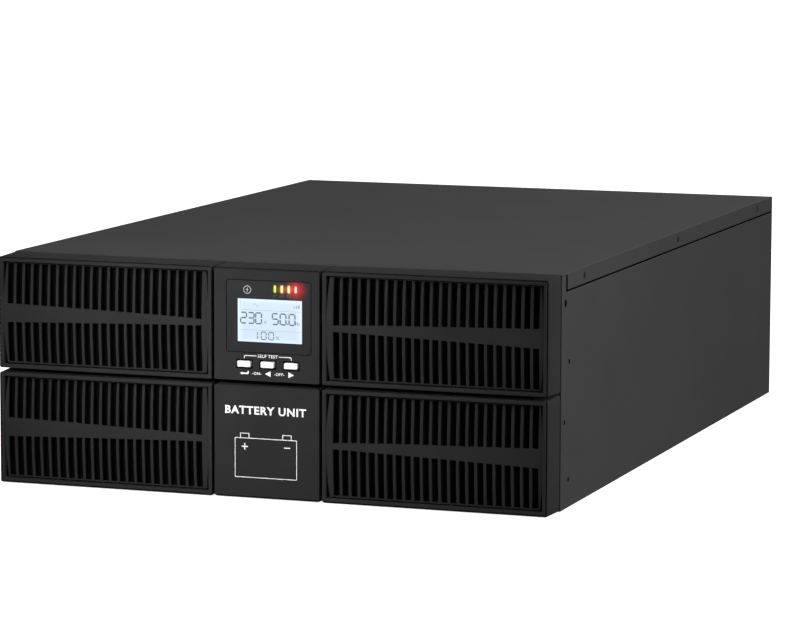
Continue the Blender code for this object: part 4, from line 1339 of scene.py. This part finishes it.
@dataclass
class CoverScrew:
    """A countersunk cross-head screw in the side of the lid.

    Attributes:
        node: The CAD node that it stands for.
        head: The head's radius.
        shank: The shank's radius.
        length: How long it is.
        recess: The depth of the cross.
    """

    node: str
    head: float = 2.5
    shank: float = 1.5
    length: float = 7.5
    recess: float = 0.55

    def build(self) -> None:
        """Makes the screw facing the front, then turns it to its side of the case."""
        face = plate([disc(self.head, (0, 0)), cross(1.45, 0.32, (0, 0))], 0, self.recess)
        profile = np.array([
            (self.head, self.recess), (self.shank, self.recess + 1.1), (self.shank, self.length),
        ])
        low, high = span(self.node)
        side = 1 if low[0] > 0 else -1
        shell = (face + lathe(profile, (0, 0, 0), steps=24)).turned(Axis.Z, side * math.pi / 2, np.zeros(3))
        outside = (high if side > 0 else low)[0]
        y, z = ((low + high) / 2)[1:]
        shell = shell.moved(outside, y, z)
        # The near-black head also paints the countersink's shade.
        put(f"{self.node}_head", shell, DARK_SCREW_AND_SHADE, self.node, replaces=True)


@dataclass
class SheetCase:
    """The folded sheet-metal case.

    Attributes:
        fold: The outside radius of the folds.
        screws: How many lid screws there are.
        seam: The gap under the lid's flanges.
        notch: The upright gap in front of them.
        setback: How far behind the lid's front the flanges start.
        sunk: How far inside the case's face the black seam strips and ear hole plugs stay.
        ears: The distance behind the front, height and radius of each ear hole.
    """

    fold: float = 0.5
    screws: int = 6
    seam: float = 1.4
    notch: float = 4.2
    setback: float = 14.2
    sunk: float = 0.15
    ears: tuple[Point, ...] = ((40.5, 153, 3), (50.5, 109, 2), (39.5, 65, 2), (50.5, 21, 2))

    def build(self) -> None:
        """Makes the tray, the lid, the inner sheets and the screws."""
        eased("chassis_tray", POWDER_COAT, self.fold * 0.6)
        eased("top_cover", POWDER_COAT, self.fold)
        eased("rear_panel", POWDER_COAT, self.fold * 0.5)
        eased("front_bulkhead", POWDER_COAT, self.fold * 0.5)
        eased("mid_shelf", ZINC, self.fold * 0.6)
        for i in range(self.screws):
            CoverScrew(f"cover_screw_{i + 1}").build()
        self.seam_shade()
        self.hole_shade()

    def seam_shade(self) -> None:
        """Black strips on the walls' lips under the lid's flanges: painted shade that makes the seams read
        dark.
        """
        low, high = span("top_cover")
        start, seam = low[1] + self.setback, low[2] - self.seam
        strips = []
        for side in (-1, 1):
            x = sorted((side * (high[0] - self.sunk), side * (high[0] - 1.4)))
            for y0, y1, z1 in (
                (start, high[1] - self.sunk, low[2] - 0.1),
                (start - self.notch + 0.1, start - 0.1, high[2] - 1.4),
            ):
                strips.append(block((x[0], y0, seam + 0.1), (x[1], y1, z1), 0.1, 0.04))
        put("lid_seals", joined(strips), BLACK_FOAM_AND_SHADE, "chassis_tray")

    def hole_shade(self) -> None:
        """Black plugs with flanges in the ear holes: painted shade that makes the holes read dark."""
        edge = span("chassis_tray")[1][0]
        shells = []
        for side in (-1, 1):
            for back, z, radius in self.ears:
                flange, plug = radius + 1.6, radius - 0.05
                profile = np.array([(plug, self.sunk), (plug, 1.3), (flange, 1.3), (flange, 3.6)])
                place = (side * edge, F + back, z)
                shells.append(lathe(profile * (1, -side), place, Axis.X, 20))
        put("ear_nuts", joined(shells), BLACK_FOAM_AND_SHADE, "chassis_tray")


# ------------------------------------------------------------------ the back

@dataclass
class Fan:
    """An exhaust fan: moulded frame, bladed rotor and wire guard.

    Attributes:
        number: Which fan it is.
        bore: The radius of its bore.
        blades: How many blades.
        hub: The hub's radius.
        tip: The radius of the blade tips.
        wire: The guard wire's radius.
    """

    number: int
    bore: float = 38
    blades: int = 7
    hub: float = 15
    tip: float = 36
    wire: float = 0.8

    def place(self, node: str) -> tuple[Array, Array, float, float]:
        """A node's box, and the x and z of its middle."""
        low, high = span(node)
        return low, high, (low[0] + high[0]) / 2, (low[2] + high[2]) / 2

    def frame(self) -> None:
        """The two flanges, the duct between them, the motor seat and its struts."""
        node = f"fan_frame_{self.number}"
        low, high, x, z = self.place(node)
        half = (high[0] - low[0]) / 2
        reach = half - 4.25
        holes = [disc(2.2, (x + sx * reach, z + sz * reach), 12) for sx in (-1, 1) for sz in (-1, 1)]
        outline = rounded_rectangle(half, half, 5) + np.array([x, z])
        flanges = [plate([outline, disc(self.bore, (x, z), 64), *holes], y, 3.6)
                   for y in (low[1], high[1] - 3.6)]
        wall = 1.4
        duct = lathe(np.array([
            (self.bore, low[1] + 3), (self.bore, high[1] - 3),
            (self.bore + wall, high[1] - 3), (self.bore + wall, low[1] + 3),
        ]), (x, 0, z), steps=64, ring=True)
        seat = lathe(np.array([(16, high[1] - 3), (16, high[1] - 0.4), (15.6, high[1])]),
                     (x, 0, z), steps=40)
        turn = math.radians(20)
        struts = [
            block((x + 14, high[1] - 2.8, z - 1.5), (x + 38.5, high[1] - 0.2, z + 1.5),
                  0.4, 0.3).turned(Axis.Y, k * math.pi / 2 + turn, np.array([x, 0, z])) for k in range(4)
        ]
        put(node + "_moulding", joined([*flanges, duct, seat, *struts]), MOULDING, node,
            replaces=True, bevel=0.25)

    def rotor(self) -> None:
        """The hub and the blades.

        A blade's point at radius r and chord share c lies at angle a0 + sweep (r) + c half(r),
        with its depth c times the half depth, so that it twists like a screw.
        """
        node = f"fan_rotor_{self.number}"
        low, high, x, z = self.place(node)
        middle = (low[1] + high[1]) / 2
        depth = (high[1] - low[1]) / 2
        hub = lathe(np.array([
            (self.hub - 1.5, low[1]), (self.hub - 0.4, low[1] + 0.4), (self.hub, low[1] + 1.5),
            (self.hub, high[1] - 0.4), (self.hub - 0.4, high[1]),
        ]), (x, 0, z), steps=48)
        radius = np.linspace(self.hub - 0.6, self.tip, 9)[:, None]
        share = np.linspace(-1, 1, 9)
        chord = np.concatenate([share, share[-2:0:-1]])[None]
        above = np.concatenate([np.ones(9), -np.ones(7)])[None]
        thick = 0.75 * (1 - chord ** 2) ** 0.5 * above
        out = (radius - self.hub) / (self.tip - self.hub)
        bend = 0.22 * out ** 1.5
        spread = 0.36 - 0.05 * out
        drop = depth * (0.78 - 0.22 * out)
        angle = bend + chord * spread
        y = middle + chord * drop + 0 * radius
        loops = []
        for k in range(self.blades):
            turn = angle + k * math.tau / self.blades
            loops.append(loft(np.stack([
                x + radius * np.cos(turn) - thick * np.sin(turn) * 0.6, y - thick * 0.8,
                z + radius * np.sin(turn) + thick * np.cos(turn) * 0.6,
            ], -1)))
        put(node + "_blades", joined([hub, *loops]), MOULDING, node, replaces=True)

    def guard(self) -> None:
        """Round wire rings on four spokes, and the four fan screws."""
        node = f"fan_guard_{self.number}"
        low, high, x, z = self.place(node)
        y = (low[1] + high[1]) / 2
        turn = np.linspace(0, math.tau, 72, endpoint=False)
        circle = np.stack([np.cos(turn), 0 * turn, np.sin(turn)], -1)
        centre = np.array([x, y, z])
        rings = [wire(circle * r + centre, self.wire, ring=True) for r in (36.6, 30, 23.5, 17, 10.5)]
        share = np.linspace(0.19, 0.99, 12)[:, None]
        corners = np.array([(1, 0, 1), (-1, 0, 1), (-1, 0, -1), (1, 0, -1)]) * 35.75
        spokes = [wire(share * corner + centre, self.wire) for corner in corners]
        put(node + "_wires", joined([*rings, *spokes]), GUARD, node, replaces=True)
        head = lathe(np.array([(3.1, 0), (3.1, 0.9), (2.3, 1.5)]), (0, low[1] + 0.1, 0), steps=24)
        screws = [head.moved(x + c[0], 0, z + c[2]) for c in corners]
        put(node + "_screws", joined(screws), DARK_SCREW_AND_SHADE, node)

    def build(self) -> None:
        """Makes all of the fan."""
        self.frame()
        self.rotor()
        self.guard()


@dataclass
class RearFittings:
    """The terminals, breaker, ports, card cover and battery socket on the back.

    Attributes:
        poles: How many terminals.
        ease: The radius that mouldings' edges are eased by.
        holes: The radius of the cable holes.
    """

    poles: int = 7
    ease: float = 0.4
    holes: float = 11

    def behind(self, shell: Shell, x: float, z: float, y: float) -> Shell:
        """A shell drawn facing the front about the origin, turned to face the back at a place."""
        return shell.turned(Axis.Z, math.pi, np.zeros(3)).moved(x, y, z)

    def screw(self, radius: float) -> Shell:
        """A slotted pan-head, facing the front, its face on y = 0."""
        slot = rounded_rectangle(radius * 0.95, radius * 0.13, radius * 0.05)
        face = plate([disc(radius, (0, 0)), slot], 0, radius * 0.25)
        return face + lathe(np.array([(radius, radius * 0.25), (radius, radius * 0.6)]), (0, 0, 0), steps=24)

    def terminals(self) -> None:
        """The terminal block with its screws, and the hood with two grommets."""
        eased("terminal_block", MOULDING, self.ease)
        low, high = span("terminal_block")
        step = (high[0] - low[0] - 2) / self.poles
        x = low[0] + 1.0 + (np.arange(self.poles) + 0.5) * step
        heads = [self.behind(self.screw(3.6), float(place), z, high[1] - 3.2)
                 for place in x for z in (122, 138)]
        put("terminal_screws", joined(heads), BRASS, "terminal_block")
        eased("terminal_cover", POWDER_COAT, self.ease)
        back = span("terminal_cover")[1][1]
        ring = np.array([
            (-1.6, -1.7), (-1.6, -0.35), (-1.2, -0.05), (0.9, -0.05), (1.3, -0.3), (1.3, -0.6),
            (-0.05, -0.7), (-0.05, -1.6),
        ]) + np.array([self.holes, back])
        grommets = [lathe(ring, (x, 0, 132), steps=40, ring=True) for x in (-178, -126)]
        put("cable_grommets", joined(grommets), RUBBER, "terminal_cover")

    def breaker(self) -> None:
        """The breaker, its lever and the signs for on and off."""
        eased("breaker_body", MOULDING, self.ease)
        eased("breaker_lever", GREY_MOULDING, self.ease)
        y = span("breaker_body")[1][1]
        signs = [self.behind(lettering(text, 4, (0, 0), 0), -75, z, y)
                 for text, z in (("I", 151.5), ("O", 108.5))]
        put("breaker_signs", joined(signs), PRINT, "breaker_body")

    def ports(self) -> None:
        """The serial port, the data port and the emergency-off connector."""
        eased("serial_port", NICKEL, self.ease * 0.6)
        low, high = span("serial_port")
        x, z, y = (low[0] + high[0]) / 2, (low[2] + high[2]) / 2, high[1]
        insert = block((x - 7.8, y - 4, z - 3.6), (x + 7.8, y + 0.02, z + 3.6), 1.6, 0.2)
        put("serial_insert", insert, MOULDING, "serial_port")
        pins = [
            lathe(np.array([(0.7, 0), (0.7, 0.12)]),
                  (x + (i - (count - 1) / 2) * 2.77, y - 0.03, z + rise), steps=12)
            for count, rise in ((4, -1.4), (5, 1.4)) for i in range(count)
        ]
        put("serial_sockets", joined(pins), BRASS, "serial_port")
        posts = [lathe(np.array([(2.6, -0.7), (2.6, 3.6), (1.4, 4)]),
                       (x + side * 12.5, y - 4, z), steps=6) for side in (-1, 1)]
        put("serial_posts", joined(posts), NICKEL, "serial_port")
        eased("usb_port", NICKEL, 0.2)
        low, high = span("usb_port")
        x, z = (low[0] + high[0]) / 2, (low[2] + high[2]) / 2
        tongue = block((x - 3, high[1] - 9, z + 0.4), (x + 3, high[1] - 1.2, z + 2.6), 0.3, 0.2)
        put("usb_tongue", tongue, PALE_MOULDING, "usb_port")
        eased("epo_connector", GREEN_MOULDING, 0.3)
        low, high = span("epo_connector")
        x, z = (low[0] + high[0]) / 2, (low[2] + high[2]) / 2
        holes = [self.behind(self.screw(1.7), x + side * 2.5, z, high[1] + 0.3) for side in (-1, 1)]
        put("epo_screws", joined(holes), NICKEL, "epo_connector")

    def panels(self) -> None:
        """The card slot cover with its thumbscrews, and the battery socket with its contacts."""
        eased("card_slot_cover", POWDER_COAT, 0.2)
        profile = np.array([(2.6, 0), (3.6, 0.5), (3.6, 4), (3.2, 4.6), (1.5, 4.8)])
        knob = lathe(profile, (0, span("rear_panel")[1][1] + 1.7, 0), steps=20)
        knobs = [knob.moved(x, 0, 116) for x in (-44, 30)]
        put("card_thumbscrews", joined(knobs), NICKEL, "card_slot_cover")
        eased("battery_socket", GREY_MOULDING, self.ease)
        low, high = span("battery_socket")
        contacts = [block((x - 1.2, high[1] - 17, 38.5), (x + 1.2, high[1] - 6, 53.5), 0.5, 0.4)
                    for x in (-156, -134)]
        put("socket_contacts", joined(contacts), NICKEL, "battery_socket")

    def build(self) -> None:
        """Makes every fitting."""
        self.terminals()
        self.breaker()
        self.ports()
        self.panels()


# ------------------------------------------------------------------ the inside

@dataclass
class PowerStage:
    """The boards, heatsinks, capacitors and chokes behind the bulkhead.

    Attributes:
        turns: How many turns of wire a choke has.
        gauge: The wire's radius.
    """

    turns: int = 44
    gauge: float = 1.3

    def capacitor(self, node: str) -> None:
        """A can in a sleeve that is curled over its top, which is scored with a cross."""
        low, high = span(node)
        x, y = (low[0] + high[0]) / 2, (low[1] + high[1]) / 2
        radius, top = (high[0] - low[0]) / 2, high[2]
        profile = np.array([
            (radius - 0.8, low[2]), (radius, low[2] + 0.8), (radius, low[2] + 4),
            (radius - 0.9, low[2] + 5.2), (radius, low[2] + 6.4), (radius, top - 1.5),
            (radius - 0.5, top - 0.4), (radius - 1.5, top), (radius - 3, top), (radius - 3, top - 0.8),
        ])
        sleeve = lathe(profile, (x, y, 0), Axis.Z, 40)
        put(f"{node}_sleeve", sleeve, SLEEVE, node, replaces=True)
        lid = plate([disc(radius - 3, (0, 0), 40), cross(radius - 6, 0.3, (0, 0))], 0, 0.5)
        lid = lid.turned(Axis.X, -math.pi / 2, np.zeros(3)).moved(x, y, top - 0.35)
        put(f"{node}_lid", lid, ALUMINIUM, node)

    def choke(self, node: str) -> None:
        """A ring core wound with wire.

        The wire's middle runs at C + (R + a cos(n t)) radially and a sin(n t) along the axis.
        Its section is spanned by the direction away from the core's circle and the one
        square to that and to the wire.
        """
        low, high = span(node)
        centre, size = (low + high) / 2, high - low
        axle = int(np.argmin(size))
        u, v = [k for k in range(3) if k != axle]
        minor = size[axle] / 2 - self.gauge
        major = size[u] / 2 - size[axle] / 2
        t = np.linspace(0, math.tau, self.turns * 14, endpoint=False)
        wound = self.turns * t
        radial = np.zeros((len(t), 3))
        radial[:, u], radial[:, v] = np.cos(t), np.sin(t)
        along = np.eye(3)[axle]
        away = radial * np.cos(wound)[:, None] + along * np.sin(wound)[:, None]
        path = centre + radial * major + away * minor
        ahead = np.roll(path, -1, 0) - np.roll(path, 1, 0)
        over = np.cross(ahead / np.linalg.norm(ahead, axis=1, keepdims=True), away)
        turn = np.linspace(0, math.tau, 6, endpoint=False)[None, :, None]
        loops = path[:, None] + self.gauge * (np.cos(turn) * away[:, None] + np.sin(turn) * over[:, None])
        put(f"{node}_winding", loft(loops, ring=True), COPPER, node, replaces=True)
        ring = np.linspace(0, math.tau, 20, endpoint=False)
        core = minor - self.gauge
        profile = np.stack([major + core * np.cos(ring), core * np.sin(ring) + centre[axle]], -1)
        place = centre.copy()
        place[axle] = 0
        ring_core = lathe(profile, place, Axis(axle), 48, ring=True)
        put(f"{node}_core", ring_core, GREEN_MOULDING, node)

    def build(self) -> None:
        """Makes every component."""
        for node in ("power_board", "control_board"):
            eased(node, BOARD, 0.15)
        for node in ("left_heatsink", "right_heatsink"):
            eased(node, ALUMINIUM, 0.2)
        for i in range(4):
            self.capacitor(f"bus_capacitor_{i + 1}")
        for node in ("pfc_choke", "inverter_choke"):
            self.choke(node)


@dataclass
class BatteryDrawer:
    """The battery tray, its handle and sixteen blocks in pairs.

    Attributes:
        lid: The thickness of a block's lid.
        gap: The space between the two blocks of a pair.
        pairs: How many pairs.
    """

    lid: float = 7
    gap: float = 8
    pairs: int = 8

    def pair(self, node: str) -> None:
        """Two blocks lying with their terminals towards each other, joined by two straps."""
        low, high = span(node)
        middle = (low[0] + high[0]) / 2
        inner = self.gap / 2
        cases, stickers = [], []
        for side in (-1, 1):
            x = sorted((middle + side * (inner + self.lid), middle + side * (high[0] - middle)))
            cases.append(block((x[0], low[1], low[2]), (x[1], high[1], high[2]), 2, 1.2, Axis.X))
            x = sorted((middle + side * inner, middle + side * (inner + self.lid + 1.0)))
            cases.append(block((x[0], low[1] + 0.7, low[2] + 0.7), (x[1], high[1] - 0.7, high[2] - 0.7),
                               1.6, 0.8, Axis.X))
            x = sorted((middle + side * (inner + 18), middle + side * (inner + 80)))
            stickers.append(block((x[0], low[1] + 18, high[2] - 0.1), (x[1], high[1] - 18, high[2] + 0.1),
                                  0.05, 0.02, Axis.X))
        put(f"{node}_cases", joined(cases), BATTERY, node, replaces=True)
        put(f"{node}_stickers", joined(stickers), STICKER, node)
        reach = inner + 1.0
        for name, finish, z in (("plus", RED, low[2] + 15), ("minus", RUBBER, high[2] - 15)):
            boot = block((middle - reach, low[1] + 13.5, z - 4), (middle + reach, low[1] + 22, z + 4),
                         1.2, 0.6, Axis.X)
            put(f"{node}_{name}_boot", boot, finish, node)

    def build(self) -> None:
        """Makes the tray and all the pairs."""
        eased("battery_tray", POWDER_COAT, 0.3)
        eased("tray_handle", POWDER_COAT, 1.2)
        for i in range(self.pairs):
            self.pair(f"battery_pair_{i + 1}")


# ------------------------------------------------------------------ the studio

@dataclass
class Studio:
    """A pale floor, soft lights and the camera.

    Attributes:
        eye: Where the camera stands.
        forward: The direction that it looks in.
        above: The direction that is up in its picture.
        lens: Its focal length in millimetres, on a 36 mm sensor.
        rise: How far the picture is shifted up, as a share of its width.
        sky: The strength of the light from all round.
    """

    eye: Point = (1.0168, -2.9246, 0.4971)
    forward: Point = (-0.3300, 0.9353, -0.1277)
    above: Point = (-0.0456, 0.1193, 0.9918)
    lens: float = 170.2
    rise: float = 0.0005
    sky: float = 0.33

    def camera(self) -> None:
        """Makes the camera and turns it: right = forward x up."""
        data = bpy.data.cameras.new("camera")
        data.lens, data.sensor_width, data.shift_y = self.lens, 36.0, self.rise
        data.clip_start, data.clip_end = 0.05, 60.0
        forward = Vector(self.forward).normalized()
        right = forward.cross(Vector(self.above)).normalized()
        turn = Matrix((right, right.cross(forward), -forward)).transposed().to_4x4()
        camera = bpy.data.objects.new("camera", data)
        camera.matrix_world = Matrix.Translation(self.eye) @ turn
        bpy.context.scene.collection.objects.link(camera)
        bpy.context.scene.camera = camera

    def floor(self) -> None:
        """A wide, even, pale floor."""
        data = bpy.data.meshes.new("floor")
        reach = 14.0
        corners = [(-reach, -reach, 0), (reach, -reach, 0), (reach, reach, 0), (-reach, reach, 0)]
        data.from_pydata(corners, [], [(0, 1, 2, 3)])
        floor = bpy.data.objects.new("floor", data)
        bpy.context.scene.collection.objects.link(floor)
        paper = Glow("paper", (0.9, 0.9, 0.9), 0.95, specular=0.0, drift=0.0, bump=0.0, strength=0.88)
        data.materials.append(paper.material())
        floor.visible_diffuse = False
        floor.visible_glossy = False

    def lamp(
        self, name: str, place: Point, size: float, power: float,
        aim: Point = (0.0, 0.0, 0.09), spread: float = 180.0,
    ) -> None:
        """Makes a square soft light.

        Args:
            name: Its name.
            place: Where it hangs.
            size: Its side.
            power: Its power in watts.
            aim: The point that it faces.
            spread: The angle of its beam, in degrees.
        """
        data = bpy.data.lights.new(name, "AREA")
        data.size, data.energy, data.spread = size, power, math.radians(spread)
        lamp = bpy.data.objects.new(name, data)
        lamp.location = place
        lamp.visible_camera = False
        lamp.rotation_euler = (Vector(aim) - Vector(place)).to_track_quat("-Z", "Y").to_euler()
        bpy.context.scene.collection.objects.link(lamp)

    def build(self) -> None:
        """Makes the floor, the sky, the lights and the camera."""
        scene = bpy.context.scene
        scene.view_settings.view_transform = "Standard"
        world = bpy.data.worlds.new("sky")
        world.use_nodes = True
        world.node_tree.nodes["Background"].inputs["Color"].default_value = (1.0, 1.0, 1.0, 1.0)
        world.node_tree.nodes["Background"].inputs["Strength"].default_value = self.sky
        scene.world = world
        self.floor()
        self.lamp("overhead", (1.1, 2.0, 1.8), 1.6, 27.0)
        self.lamp("front", (-0.16, -0.95, 0.40), 0.2, 0.52, aim=(-0.05, -0.34, 0.13), spread=50.0)
        self.lamp("right", (0.80, -0.44, 0.34), 0.35, 3.3)
        self.camera()


def main() -> None:
    """Builds the supply from the case outwards, then the studio."""
    logging.basicConfig(level=logging.INFO, format="%(name)s: %(message)s")
    SheetCase().build()
    for row in ROW:
        for side in Side:
            LouvreGrille(side=side, row=row).build()
    DisplayModule().build()
    BatteryBadge().build()
    for number in (1, 2):
        Fan(number).build()
    RearFittings().build()
    PowerStage().build()
    BatteryDrawer().build()
    Studio().build()


if __name__ == "__main__":
    main()
